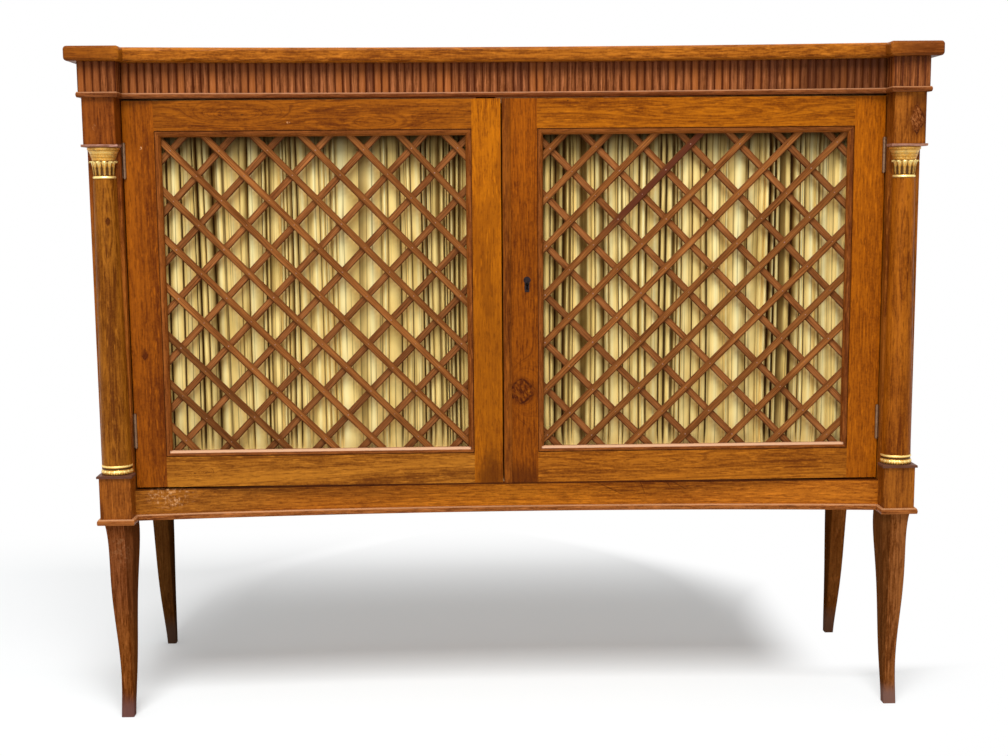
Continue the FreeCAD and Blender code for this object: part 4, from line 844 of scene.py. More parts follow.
class CABINET_OT_door_woods(bpy.types.Operator):
    """Woods of the doors: stiles, rails, opening mouldings and the closing bead"""
    bl_idname = "cabinet.door_woods"
    bl_label = "Door woods"

    def execute(self, context):
        look = context.scene.cabinet_wood
        door, reed = tuple(look.door), tuple(look.reed)
        frames, joints = {}, {}
        for side in ("left", "right"):
            low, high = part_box(side + "_opening_moulding")
            frames[side] = (low.x, high.x, low.z, high.z)
            low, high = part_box(side + "_door_rails")
            joints[side] = (low.x, high.x)
        woods = {
            "left_hinge_stile": dict(
                tone=scaled(door, 0.83, 0.79, 0.44), pitch=30.0, bend=16, tilt=0.07, figure=0.8, streak=0.7,
                patch=0.7, knots=((-0.568, 0.576, 0.004, 0.008, 0.2),),
                scuffs=((-0.5618, 0.8946, 0.003, 0.003, 1.0),)),
            "left_meeting_stile": dict(
                tone=scaled(door, 1.10, 1.17, 0.32), bend=10, tilt=0.03, figure=0.7, streak=0.9, patch=1.3,
                curl=0.35, stains=((-0.030, 0.366, 0.030, 0.060, 0.8), (-0.030, 0.56, 0.05, 0.24, 0.36))),
            "left_door_rails": dict(
                tone=scaled(door, 1.06, 1.40, 2.7), grain="X", pitch=26.0, bend=26, tilt=0.08, figure=1.1,
                streak=0.8, lines=0.6, worm=0.02, joints=joints["left"], upper=(0.65, 0.05, (0.75, 0.59, 0.24)),
                eyes=((-0.410, 0.944, 0.055, 0.014, 4.0), (-0.20, 0.930, 0.05, 0.012, 2.0),
                    (-0.4794, 0.388, 0.010, 0.006, 2.2), (-0.4967, 0.3868, 0.006, 0.004, 1.6)),
                stains=((-0.405, 0.9438, 0.0035, 0.0016, 0.9), (-0.4967, 0.3868, 0.0026, 0.0018, 0.7),
                    (-0.4794, 0.3875, 0.0020, 0.0014, 0.6)), scuffs=((-0.3349, 0.932, 0.003, 0.003, 1.0),)),
            "left_opening_moulding": dict(tone=scaled(reed, 1.12, 1.06, 0.66), streak=1.0, mitre=frames["left"]),
            "right_hinge_stile": dict(
                tone=scaled(door, 1.05, 1.05, 0.46), pitch=34.0, bend=14, tilt=0.05, figure=0.6, streak=0.7,
                patch=0.6),
            "right_meeting_stile": dict(
                tone=scaled(door, 0.72, 0.66, 0.24), pitch=10.0, bend=4, tilt=0.01, figure=0.6, streak=1.0,
                lines=0.5, stains=((0.020, 0.366, 0.036, 0.040, 0.65), (0.0304, 0.679, 0.0056, 0.0135, 0.95)),
                upper=(0.80, 0.06, (1.15, 1.15, 1.2)), eyes=((0.024, 0.512, 0.022, 0.034, 5.0),),
                knots=((0.021, 0.512, 0.019, 0.019, 0.75),)),
            "right_door_rails": dict(
                tone=scaled(door, 1.08, 1.29, 1.85), grain="X", pitch=24.0, bend=16, tilt=0.03, figure=0.9,
                streak=0.8, lines=0.5, worm=0.02, joints=joints["right"], upper=(0.65, 0.05, (0.96, 0.87, 0.38)),
                eyes=((0.32, 0.942, 0.10, 0.010, 2.5), (0.22, 0.396, 0.08, 0.010, 2.0))),
            "right_opening_moulding": dict(tone=scaled(reed, 1.12, 1.06, 0.66), streak=1.0, mitre=frames["right"]),
            "closing_bead": dict(tone=scaled(reed, 1.02, 0.90, 0.26), pitch=8.0, figure=0.5, streak=1.0),
        }
        finish_woods(woods, DOOR_SEED)
        return {"FINISHED"}


class CABINET_OT_lattice(bpy.types.Operator):
    """Slats of the door lattice with eased edges, and the nails at their crossings"""
    bl_idname = "cabinet.lattice"
    bl_label = "Lattice"

    def execute(self, context):
        look = context.scene.cabinet_wood
        for seed, side in enumerate(("left", "right")):
            lines = {}
            for layer in ("front", "back"):
                name = f"{side}_lattice_{layer}"
                tone = look.lattice if layer == "front" else look.lattice_back
                material = slat_wood("wood_" + name, tuple(tone), look)
                lines[layer] = self.make_slats(look, name, side, material, SLAT_SEED + 2 * seed)
            self.make_nails(context, side, lines)
        return {"FINISHED"}

    @staticmethod
    def make_slats(look, name, side, material, seed):
        """One bevelled slat over each loose part of the node; returns their middle lines"""
        chance = np.random.default_rng(seed)
        points, faces, cloth, tones, stained, lines = [], [], [], [], [], []
        low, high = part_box(name)
        for outline in [hull(part[:, [0, 2]]) for part in loose_parts(name)]:
            line = middle_line(outline)
            lines.append(line)
            inner = inset(outline, look.slat_bevel)
            ring = [(x, high.y, z) for x, z in outline]
            ring += [(x, low.y + 0.7 * look.slat_bevel, z) for x, z in outline]
            ring += [(x, low.y, z) for x, z in inner]
            first, count = len(points), len(outline)
            faces.append([first + i for i in reversed(range(count))])
            faces.append([first + 2 * count + i for i in range(count)])
            for level in (0, 1):
                for i in range(count):
                    k, back, front = (i + 1) % count, first + level * count, first + (level + 1) * count
                    faces.append([front + i, back + i, back + k, front + k])
            points += ring
            across = np.array([(np.array((x, z)) - line[0]) @ line[2] for x, _, z in ring])
            along = [(np.array((x, z)) - line[0]) @ line[1] + len(lines) * 0.7 for x, _, z in ring]
            cloth += list(zip(along, across / np.abs(across).max()))
            worn = any(abs((np.array(place) - line[0]) @ line[2]) < SLAT_REACH for place in DULL_SLATS[name])
            tones += [chance.uniform(0.90, 1.16) * (0.78 if worn else 1.0)] * len(ring)
            near = abs((np.array(DARK_SLAT) - line[0]) @ line[2]) < SLAT_REACH
            stained += [float(near and side == "right" and name.endswith("front"))] * len(ring)
        piece = new_piece(name + "_slats", points, faces, side + "_door", material, smooth=False)
        set_cloth(piece.data, "slat", np.array(cloth))
        set_values(piece.data, "tone", tones)
        set_values(piece.data, "stained", stained)
        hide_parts(name)
        return lines

    @staticmethod
    def make_nails(context, side, lines):
        look = context.scene.cabinet_metal
        mesh = bpy.data.meshes.new(side + "_nail_places")
        mesh.from_pydata(crossings(side, lines), [], [])
        steel = metal("nail_steel_" + side, tuple(look.nail), rough=0.45, metallic=0.6)
        tree, ends = geometry_tree("lattice_nails", (
            ("Radius", "NodeSocketFloat", look.nail_radius), ("Height", "NodeSocketFloat", look.nail_height),
            ("Seed", "NodeSocketInt", 7)))
        ball = tree.node("GeometryNodeMeshIcoSphere", None, {"Radius": 1.0, "Subdivisions": 2}).outputs[0]
        size = tree.node("FunctionNodeRandomValue", {"data_type": "FLOAT"},
                         {2: 0.55, 3: 1.1, "Seed": ends["Seed"]}).outputs[1]
        radius, height = Number(tree, ends["Radius"]), Number(tree, ends["Height"])
        size = Number(tree, size)
        scale = tree.join(radius * size, height, radius * size)
        heads = tree.node("GeometryNodeInstanceOnPoints", None,
                          {"Points": ends["Geometry"], "Instance": ball, "Scale": scale}).outputs[0]
        mesh = grown(side + "_lattice_nails", mesh, end_tree(tree, heads, steel), {
            "Radius": look.nail_radius, "Height": look.nail_height, "Seed": 7})
        place_piece(side + "_lattice_nails", mesh, side + "_door", steel)


# A point on the slat that was replaced with a darker wood, and points on slats that are duller than the rest
SLAT_REACH = 5 * MILLI
DARK_SLAT = (0.251, 0.853)
DARK_SLAT_LEVELS = (0.735, 0.800)
DULL_SLATS = {"left_lattice_front": ((-0.670, 0.667), (-0.595, 0.667)), "left_lattice_back": (
    (-0.143, 0.667), (-0.069, 0.667), (0.077, 0.667)), "right_lattice_front": (), "right_lattice_back": ()}


# Outline points that turn less than this are left out
STRAIGHT = 0.01


def loose_parts(name):
    """The points of every loose part of a node"""
    keys, index = np.unique(np.round(world_points(name), 5), axis=0, return_inverse=True)
    index = index.ravel()
    owner = list(range(len(keys)))

    def root(i):
        while owner[i] != i:
            i = owner[i]
        return i

    for polygon in nodes[name].data.polygons:
        first = index[polygon.vertices[0]]
        for other in polygon.vertices[1:]:
            owner[root(index[other])] = root(first)
    roots = np.array([root(i) for i in range(len(keys))])
    return [keys[roots == r] for r in np.unique(roots)]


def hull(points):
    """Convex outline of points in a plane, counter-clockwise"""
    ordered = sorted({tuple(point) for point in points})
    halves = []
    for run in (ordered, ordered[::-1]):
        half = []
        for point in run:
            while len(half) > 1 and turn(half[-2], half[-1], point) < STRAIGHT:
                half.pop()
            half.append(point)
        halves += half[:-1]
    return halves


def turn(a, b, c):
    """Sine of the turn to the left at b, on the way from a to c"""
    area = (b[0] - a[0]) * (c[1] - b[1]) - (b[1] - a[1]) * (c[0] - b[0])
    return area / (math.dist(a, b) * math.dist(b, c))


def inset(outline, distance):
    """The outline with every edge moved inwards"""
    moved = []
    for i, point in enumerate(outline):
        before, after = np.array(outline[i - 1]), np.array(outline[(i + 1) % len(outline)])
        here = np.array(point)
        first, second = (here - before), (after - here)
        first, second = first / np.linalg.norm(first), second / np.linalg.norm(second)
        share = distance / (first[0] * second[1] - first[1] * second[0])
        moved.append(tuple(here + share * (second - first)))
    return moved


def middle_line(outline):
    """A point on a slat's middle line, its direction and the upward normal of the line"""
    edges = [(math.dist(a, b), np.array(b) - np.array(a)) for a, b in zip(outline, outline[1:] + outline[:1])]
    length, edge = max(edges, key=lambda item: item[0])
    direction = edge / length
    normal = np.array((-direction[1], direction[0]))
    normal = normal if normal[1] > 0 else -normal
    reach = [np.array(p) @ normal for p in outline]
    centre = np.mean(outline, axis=0)
    return centre + normal * ((min(reach) + max(reach)) / 2 - centre @ normal), direction, normal


def crossings(side, lines):
    """Where the front and back slats of a lattice cross, on the front slats' face"""
    low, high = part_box(side + "_opening_moulding")
    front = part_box(side + "_lattice_front")[0].y
    reach = MOULDING_WIDTH + 2 * MILLI
    places = []
    for point, direction, _ in lines["front"]:
        for other, _, normal in lines["back"]:
            x, z = point + direction * (((other - point) @ normal) / (direction @ normal))
            if low.x + reach < x < high.x - reach and low.z + reach < z < high.z - reach:
                places.append((float(x), front, float(z)))
    return places


def slat_wood(name, tone, look):
    """Wood with its grain along each slat, and painted shade on its upper edge and, stronger, on its lower one"""
    finish = Finish(name)
    u, v, _ = finish.split(finish.node("ShaderNodeUVMap", {"uv_map": "slat"}).outputs[0])
    own, stained = finish.attribute("tone"), finish.attribute("stained")
    height = finish.split(finish.place())[2]
    fibre = finish.noise(finish.join(u * 26.0, v * 4.5, own * 40.0), detail=5.0, rough=0.65)
    cloud = finish.noise(finish.join(u * 11.0, v * 0.5, own * 70.0), detail=3.0)
    value = (fibre - 0.5) * 1.8 + (cloud - 0.5) * 0.9 + 0.5
    colour = finish.ramp(value, ((0.2, scaled(tone, 0.45, 0.38, 0.32)), (0.42, scaled(tone, 0.82, 0.78, 0.72)),
                                 (0.55, tone), (0.85, scaled(tone, 1.5, 1.6, 1.7))))
    purple = stained * finish.step(height, *DARK_SLAT_LEVELS)
    colour = finish.blend(purple * 0.9, colour, scaled(tone, 0.42, 0.30, 0.62))
    colour = finish.blend(1.0, colour, finish.join(own, own, own), "MULTIPLY")
    # Painted shade along the upper edge, and stronger along the lower edge
    upper = finish.step(v + (fibre - 0.5) * 0.4, 0.45, 0.90)
    colour = finish.blend(upper * 0.62, colour, scaled(tone, 0.50, 0.42, 0.28))
    lower = finish.step(v + (fibre - 0.5) * 0.3, -0.50, -0.90)
    colour = finish.blend(lower * 0.75, colour, scaled(tone, 0.26, 0.18, 0.12))
    return finish.surface({"Base Color": colour, "Roughness": 0.55 - fibre * 0.1,
                           "Specular IOR Level": look.shine}, height=fibre, depth=0.0002)


class CABINET_OT_curtains(bpy.types.Operator):
    """Gathered silk on its rods behind each lattice"""
    bl_idname = "cabinet.curtains"
    bl_label = "Curtains"

    def execute(self, context):
        look = context.scene.cabinet_silk
        material = silk(look)
        for seed, side in enumerate(("left", "right")):
            self.make_curtain(look, material, side, seed)
        for side in ("left", "right"):
            finish_node(side + "_curtain_rods", metal("rod_brass_" + side, tuple(context.scene.cabinet_metal.brass)))
        return {"FINISHED"}

    @staticmethod
    def make_curtain(look, material, side, seed):
        piece, flat = gathered_sheet(look, material, side, seed)
        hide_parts(side + "_curtain")
        side + "_curtain_rods"


FOLD_STEPS = 8
CLOTH_THICKNESS = 0.5 * MILLI
# The cloth's turn round a rod, and how far its end hangs past the rod's middle
CASING_RADIUS = 3.7 * MILLI
CASING_LAP = 9.0 * MILLI
CASING_STEPS = 84
EDGE_INSET = 1.8 * MILLI
EYE_HALF_HEIGHT = 5.0 * MILLI
# How far below a slat its shade falls on the cloth, and how soft it is
SHADE_DROP = 8.0 * MILLI
SHADE_REACH = 5.0 * MILLI
# Height of the painted shadow on the head of the curtain under the top rail, and of its soft edge
HEAD = 18.0 * MILLI
HEAD_REACH = 70.0 * MILLI
# The share of narrow folds, and the widths of narrow and other folds before they are fitted to the curtain
NARROW_SHARE = 0.42
NARROW_WIDTHS = (0.38, 0.70)
OTHER_WIDTHS = (0.9, 1.8)
# Where the broadest folds lie, in shares of the curtain's width
BROADEST_FOLDS = {"left": (0.555, 0.575, 0.19), "right": (0.60, 0.66, 0.42)}
BROADEST_WIDTH = 2.1
# Between which depths the folds' depth is sought that takes up the cloth, and in how many halvings
FOLD_DEPTHS = (1.0 * MILLI, 12.0 * MILLI)
GUESSES = 24

# Where the folds of each curtain lie open to the light and where they crowd together, as places and half widths
# in shares of the curtain's width
LIT_BANDS = {"left": ((0.59, 0.10),), "right": ((0.64, 0.09), (0.95, 0.11))}
CROWDED_BANDS = {"left": ((0.93, 0.12),), "right": ((0.12, 0.19),)}


def band(share, bands):
    """1 inside a band, 0 well away from all of them"""
    return np.max([np.exp(-((share - middle) / half) ** 4) for middle, half in bands], axis=0)


def draw_folds(count, side, seed):
    """What chance gives to the folds of a curtain: place, width, depth and the ways in which they are shaded"""
    chance = np.random.default_rng(FOLD_SEED + seed)
    widths = np.where(chance.random(count) < NARROW_SHARE, chance.uniform(*NARROW_WIDTHS, count),
                      chance.uniform(*OTHER_WIDTHS, count))
    for share in BROADEST_FOLDS[side]:
        widths[int(share * count)] = BROADEST_WIDTH
    nearly = (np.arange(count) + 0.5) / count
    widths *= 1.0 + 0.35 * band(nearly, LIT_BANDS[side]) - 0.15 * band(nearly, CROWDED_BANDS[side])
    widths /= widths.sum()
    starts = np.concatenate([[0.0], np.cumsum(widths)])[:-1]
    breadth = np.clip(widths * count, 0.45, 2.2)
    lit = band(starts + widths / 2, LIT_BANDS[side])
    crowded = band(starts + widths / 2, CROWDED_BANDS[side])
    depths = chance.uniform(0.55, 1.0, count)
    # How much painted shade each fold gets on its flank and in its valley, and how strong its painted highlight is,
    # less shaded in the lit bands and more in the crowded ones
    olive = np.clip(chance.normal(0.38, 0.35, count) + 0.4 * crowded - 0.45 * lit, 0.0, 1.0)
    narrow = np.maximum(5.0, (chance.uniform(6.0, 16.0, count) + 4.0 * lit) * breadth ** 1.3)
    dark = np.clip(chance.normal(0.8, 0.25, count) - 0.12 * crowded - 0.2 * lit, 0.3, 1.0)
    dark = dark * np.minimum(1.0, 0.6 + 0.5 * breadth)
    pale = np.clip(chance.normal(0.55, 0.40, count) + 0.5 * lit - 0.35 * crowded, 0.0, 1.0)
    lean = chance.uniform(-1.0, 1.0, count)
    turn_by = chance.uniform(0.0, 2 * math.pi, count)
    slow = chance.uniform(0.4, 1.3, count)
    return widths, starts, depths, olive, narrow, dark, pale, lean, turn_by, slow


def gathered_sheet(look, material, side, seed):
    """A sheet that runs over both rods and hangs in folds of uneven width between them"""
    low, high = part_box(side + "_curtain")
    rods_low, rods_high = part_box(side + "_curtain_rods")
    middle = (low.y + high.y) / 2
    rod_low, rod_high = rods_low.z + EYE_HALF_HEIGHT, rods_high.z - EYE_HALF_HEIGHT
    count = look.folds
    widths, starts, depths, olive, narrow, dark, pale, lean, turn_by, slow = draw_folds(count, side, seed)
    q = np.tile(np.arange(FOLD_STEPS) / FOLD_STEPS, count)
    k = np.repeat(np.arange(count), FOLD_STEPS)
    q, k = np.append(q, 1.0), np.append(k, count - 1)
    x0, x1 = low.x + EDGE_INSET, high.x - EDGE_INSET
    cloth = look.fullness * (x1 - x0)
    base_x = x0 + (x1 - x0) * (starts[k] + widths[k] * (q + 0.13 * lean[k] * np.sin(2 * math.pi * q)))
    ridge = 1.0 - np.abs(np.cos(math.pi * q)) ** 7
    path = casing_path(rod_low, rod_high)

    def points_for(depth):
        rows = []
        for level, out, loose, outward in path:
            share = (level - rod_low) / (rod_high - rod_low)
            swing = 0.75 + 0.25 * np.sin(slow[k] * 2 * math.pi * share + turn_by[k])
            fold = depth * depths[k] * swing * ridge + 0.0005 * np.sin(6 * math.pi * q + turn_by[k])
            fold = fold * loose + 0.0007 * (1 - loose) * np.sin(2 * math.pi * (q * 2 + turn_by[k]))
            drift = 0.0016 * np.sin(2 * math.pi * (0.55 * share + 3.1 * base_x / 0.5) + seed)
            edge = np.minimum((base_x - x0), (x1 - base_x)) / 0.02
            x = base_x + drift * np.clip(edge, 0, 1) * loose
            y = middle + out - outward * fold + 0.5 * depth * loose
            rows.append(np.stack([x, y, np.full_like(x, level)], axis=1))
        return np.array(rows)

    def cloth_width(rows):
        centre = rows[len(rows) // 2]
        return float(np.linalg.norm(np.diff(centre, axis=0), axis=1).sum())

    shallow, deep = FOLD_DEPTHS
    for _ in range(GUESSES):
        guess = (shallow + deep) / 2
        if cloth_width(points_for(guess)) > cloth:
            deep = guess
        else:
            shallow = guess
    rows = points_for((shallow + deep) / 2)
    length = sum(math.dist(rows[i][0][1:], rows[i + 1][0][1:]) for i in range(len(rows) - 1))
    columns = rows.shape[1]
    piece = new_piece(side + "_silk", rows.reshape(-1, 3), grid_faces(len(rows), columns), side + "_door",
                      material)
    mesh = piece.data
    # Painted shade in the valleys between the folds
    shut = np.abs(np.cos(math.pi * q)) ** narrow[k] * dark[k]
    # Painted shade on one flank of each fold
    facing = np.where(lean[k] > 0, 1 - q, q)
    shade = np.clip(facing * 1.5 - 0.4, 0, 1) ** 1.3 * olive[k] + 0.35 * np.clip(olive[k] - 0.6, 0, 1)
    # Painted highlight on the crest of each fold
    crest = np.exp(-((q - 0.5 - 0.22 * lean[k]) / 0.15) ** 2) * pale[k]
    sway = np.array([0.8 + 0.2 * math.sin(9.0 * p[0] + seed) for p in path])[:, None]
    hanging = np.array([p[2] for p in path])[:, None]
    set_values(mesh, "valley", (shut * hanging).ravel())
    set_values(mesh, "flank", (shade * sway * hanging).ravel())
    set_values(mesh, "crest", (crest * sway * hanging).ravel())
    places = rows.reshape(-1, 3)
    # Painted shadow of the slats on the cloth
    set_values(mesh, "under", slat_shade(side, places) * np.repeat(hanging, columns))
    # Painted shadow under the top rail
    below = (high.z - HEAD - places[:, 2]) / HEAD_REACH
    set_values(mesh, "head", np.clip(1 - below, 0, 1) ** 1.4)
    across = np.tile(np.linspace(0, cloth, columns), len(rows))
    up = np.repeat([p[0] for p in path], columns)
    set_cloth(mesh, "cloth", np.stack([across, up], axis=1))
    solid = piece.modifiers.new("cloth", "SOLIDIFY")
    solid.thickness = CLOTH_THICKNESS
    solid.offset = 0
    return piece, (round(cloth, 3), round(length, 3))


def slat_shade(side, places):
    """How much of the light is kept off each place of the cloth by the slats in front of it"""
    shade = np.zeros(len(places))
    for layer in ("front", "back"):
        for part in loose_parts(f"{side}_lattice_{layer}"):
            point, _, normal = middle_line(hull(part[:, [0, 2]]))
            away = (places[:, [0, 2]] - point) @ normal
            shade = np.maximum(shade, np.exp(-((away + SHADE_DROP) / SHADE_REACH) ** 2))
    return shade


def round_rod(rod, way, angles):
    """Steps of the cloth round a rod, under it for -1 and over it for 1"""
    for angle in angles:
        sine, cosine = math.sin(math.radians(angle)), math.cos(math.radians(angle))
        yield rod + way * CASING_RADIUS * sine, CASING_RADIUS * cosine, 0.0, -cosine


def casing_path(rod_low, rod_high):
    """Levels of the cloth from behind the lower rod, round it, up, and round the upper rod. Each step has its
    level, its place in front of or behind the rods, how loose the folds are and which way they stand."""
    path = [(rod_low + CASING_LAP, CASING_RADIUS * 0.8, 0.0, -1), *round_rod(rod_low, -1, range(0, 181, 30)),
            (rod_low + CASING_LAP, -CASING_RADIUS * 0.6, 0.15, 1)]
    start, stop = rod_low + 1.9 * CASING_LAP, rod_high - 1.9 * CASING_LAP
    for i in range(CASING_STEPS + 1):
        level = start + (stop - start) * (i / CASING_STEPS)
        near = min(level - start, stop - level)
        path.append((level, 0.0, min(1.0, 0.55 + near / 0.05), 1))
    return path + [(rod_high - CASING_LAP, -CASING_RADIUS * 0.6, 0.15, 1),
                   *round_rod(rod_high, 1, range(180, -1, -30)),
                   (rod_high - CASING_LAP, CASING_RADIUS * 0.8, 0.0, -1)]


def silk(look):
    """Silk with a painted highlight on its crests, painted shade on the flanks and painted shade between its folds"""
    finish = Finish("silk")
    u, v, _ = finish.split(finish.node("ShaderNodeUVMap", {"uv_map": "cloth"}).outputs[0])
    valley, flank, crest, under, head = (finish.attribute(name) for name in (
        "valley", "flank", "crest", "under", "head"))
    silk_colour = tuple(look.colour)
    slub = finish.noise(finish.join(u * 900.0, v * 30.0, 0.0), detail=3.0)
    cloud = finish.noise(finish.join(u * 45.0, v * 9.0, 4.0), detail=3.0)
    mark = finish.noise(finish.join(u * 9.0, v * 12.0, 9.0), detail=2.0)
    tone = finish.blend(finish.step(cloud, 0.40, 0.66) * 0.45, silk_colour, scaled(silk_colour, 0.82, 0.74, 0.52))
    tone = finish.blend(finish.step(mark, 0.52, 0.72) * 0.30, tone, scaled(silk_colour, 0.66, 0.60, 0.40))
    tone = finish.blend(finish.step(slub, 0.45, 0.75) * 0.15, tone, scaled(silk_colour, 0.8, 0.72, 0.55))
    # Painted highlight on the crests
    tone = finish.blend(crest * 0.9, tone, tuple(look.crest))
    # Painted shade on the flanks of the folds
    tone = finish.blend(finish.step(flank + (cloud - 0.5) * 0.4, 0.0, 0.62) * 0.9, tone, tuple(look.shade))
    # Painted shade in fine creases
    crease = finish.noise(finish.join(u * 420.0, v * 3.0, 2.0), detail=2.0)
    tone = finish.blend(finish.step(crease, 0.55, 0.66) * 0.60, tone, tuple(look.shade))
    # Painted shade in the valleys between the folds
    tone = finish.blend(finish.step(valley, 0.16, 0.62) * 0.97, tone, tuple(look.valley))
    # Painted shadow of the slats
    tone = finish.blend(under * 0.60, tone, (0.46, 0.28, 0.15), "MULTIPLY")
    # Painted shadow under the top rail
    tone = finish.blend(head * 0.95, tone, tuple(look.valley))
    threads = finish.sum("SINE", u * 9000.0) * 0.5 + finish.sum("SINE", v * 7000.0) * 0.5
    return finish.surface({"Base Color": tone, "Roughness": 0.5 + slub * 0.15, "Specular IOR Level": 0.05},
                          height=slub * 0.7 + threads * 0.15, depth=0.00012)


# Profiles of the gilt pieces in millimetres: radius, height and how recessed the surface is, which sets the painted
# shade in the recesses and, below zero, the painted highlight
BELL = ((15.4, 0.0, 0.3), (17.0, 0.9, 0.0), (17.7, 2.7, -0.6), (17.0, 4.5, -0.3), (15.4, 5.4, 0.8), (14.4, 6.0, 1.0),
        (14.8, 12.0, 1.0), (15.8, 20.0, 1.0), (17.2, 26.0, 0.9), (17.9, 29.0, 0.2), (18.4, 31.6, 0.1),
        (18.6, 32.6, 0.45), (19.3, 33.2, 0.1), (19.4, 34.0, 0.35), (19.5, 35.6, 0.0), (20.3, 36.2, -0.2),
        (20.3, 37.0, 0.5), (20.6, 38.6, -0.1), (21.6, 41.0, -0.15), (22.8, 42.8, 0.2), (23.3, 43.6, 0.6),
        (24.3, 44.2, 0.1), (24.4, 46.4, -0.1), (24.0, 47.6, 0.3), (23.6, 48.0, 0.4))
RINGS = ((22.3, 0.0, 0.4), (23.8, 1.0, 0.1), (24.4, 3.4, 0.0), (24.1, 5.6, -0.3), (22.8, 7.4, 0.1), (21.8, 8.2, 1.0),
         (21.6, 10.2, 1.0), (22.9, 10.9, 0.4), (23.9, 12.0, -0.1), (23.8, 13.6, -0.5), (22.9, 15.0, 0.2))
# Rows of a capital's leaf: radius, height, half width and how high the midrib stands
LEAF = ((15.5, 5.4, 2.2, 0.6), (15.7, 8.0, 2.5, 0.9), (15.9, 11.0, 2.4, 1.1), (16.2, 14.0, 3.0, 1.2),
        (16.5, 16.8, 2.9, 1.2), (16.9, 19.6, 3.7, 1.1), (17.6, 22.4, 3.9, 1.0), (18.6, 24.8, 4.7, 0.9),
        (19.9, 26.4, 3.9, 0.6), (21.0, 26.6, 3.0, 0.5), (21.5, 25.6, 2.0, 0.4), (21.3, 24.4, 0.8, 0.2))
# Rows of a column base's leaf, which lies on the lower ring
PETAL = ((23.0, 0.3, 4.0, 0.3), (24.0, 1.4, 3.9, 0.4), (24.35, 3.0, 3.3, 0.4), (24.3, 4.8, 2.4, 0.4),
         (23.7, 6.4, 1.3, 0.3), (23.0, 7.4, 0.3, 0.1))
# How far the leaves stand round to each side, and their thickness
CAPITAL_SPREAD, CAPITAL_LEAF = math.radians(72), 0.8 * MILLI
BASE_SPREAD, BASE_LEAF = math.radians(78), 0.5 * MILLI
SHARP_ANGLE = math.radians(40)
# How far a column's axis lies in front of the flat back of its gilt pieces
FLAT_BACK = 2.0 * MILLI


def side_box(name, side):
    """The lower and upper corner of a node's points on one side of the cabinet"""
    points = world_points(name)
    points = points[points[:, 0] * (1 if side == "right" else -1) > 0]
    return points.min(axis=0), points.max(axis=0)


def turned_part(name, side, profile, material, columns=64):
    """A turned part with a flat back, over one side of the node that it stands for"""
    low, high = side_box(name, side)
    centre = ((low[0] + high[0]) / 2, high[1] - FLAT_BACK, low[2])
    stretch = (high[2] - low[2]) / (profile[-1][1] * MILLI)
    points, depths = [], []
    for radius, height, depth in profile:
        reach = math.acos(-FLAT_BACK / (radius * MILLI))
        for angle in np.linspace(-reach, reach, columns):
            points.append((centre[0] + radius * MILLI * math.sin(angle), centre[1] - radius * MILLI * math.cos(angle),
                           centre[2] + height * MILLI * stretch))
            depths.append(depth)
    faces = grid_faces(len(profile), columns, closed=True)
    top = (len(profile) - 1) * columns
    faces += [tuple(reversed(range(columns))), tuple(range(top, top + columns))]
    piece = new_piece(f"{name}_{side}", points, faces, "case", material)
    piece.data.set_sharp_from_angle(angle=SHARP_ANGLE)
    set_values(piece.data, "recess", depths)
    return piece, centre


def leaf_mesh(name, rows, ribs=9):
    """One leaf about the axis that it stands round, facing forward"""
    shares = np.linspace(-1, 1, ribs)
    points, depths = [], []
    for radius, height, half_width, ridge in rows:
        for share in shares:
            angle = share * half_width / radius
            groove = 0.5 * ridge * abs(math.sin(2.2 * math.pi * share))
            out = radius + ridge * (1 - abs(share)) - groove
            points.append((out * math.sin(angle) * MILLI, -out * math.cos(angle) * MILLI, height * MILLI))
            # How recessed each point is: painted shade in the grooves, and a painted highlight on the curled tip
            curled = 0.9 * max(0.0, (height - rows[0][1]) / (rows[-3][1] - rows[0][1]) - 0.55)
            depths.append(0.55 * abs(math.sin(2.2 * math.pi * share)) + 0.35 * abs(share) - 0.1 - curled * 2.2)
    mesh = bpy.data.meshes.new(name)
    mesh.from_pydata(points, [], grid_faces(len(rows), ribs))
    mesh.update()
    set_values(mesh, "recess", depths)
    return mesh


def leaf_ring(name, side, mesh, centre, leaves, spread, material, thickness):
    """Leaves round the front of an axis, repeated by a Geometry Nodes tree"""
    step = 2 * spread / (leaves - 1)
    tree, ends = geometry_tree("leaf_ring", (
        ("Count", "NodeSocketInt", leaves), ("Start", "NodeSocketFloat", -spread),
        ("Step", "NodeSocketFloat", step), ("Centre", "NodeSocketVector", None)))
    places = tree.node("GeometryNodeMeshLine", {"mode": "OFFSET"},
                       {"Count": ends["Count"], "Start Location": ends["Centre"], "Offset": (0, 0, 0)}).outputs[0]
    index = Number(tree, tree.node("GeometryNodeInputIndex").outputs[0])
    turn_by = tree.join(0.0, 0.0, index * Number(tree, ends["Step"]) + Number(tree, ends["Start"]))
    copies = tree.node("GeometryNodeInstanceOnPoints", None,
                       {"Points": places, "Instance": ends["Geometry"], "Rotation": turn_by}).outputs[0]
    grown_mesh = grown(f"{name}_{side}", mesh, end_tree(tree, copies, material),
                       {"Count": leaves, "Start": -spread, "Step": step, "Centre": centre},
                       modifiers=(("SOLIDIFY", {"thickness": thickness, "offset": -1.0}),))
    return place_piece(f"{name}_{side}", grown_mesh, "case", material)


class CABINET_OT_capitals(bpy.types.Operator):
    """Gilt capitals: a flared bell with a row of leaves"""
    bl_idname = "cabinet.capitals"
    bl_label = "Capitals"

    def execute(self, context):
        look = context.scene.cabinet_gilt
        material = gilding("gilt_capitals", look)
        for side in ("left", "right"):
            bell, centre = turned_part("capitals", side, BELL, material)
            leaf_ring("capital_leaves", side, leaf_mesh("capital_leaf", LEAF), centre, look.leaves,
                      CAPITAL_SPREAD, material, CAPITAL_LEAF)
            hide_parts("capitals")
        return {"FINISHED"}


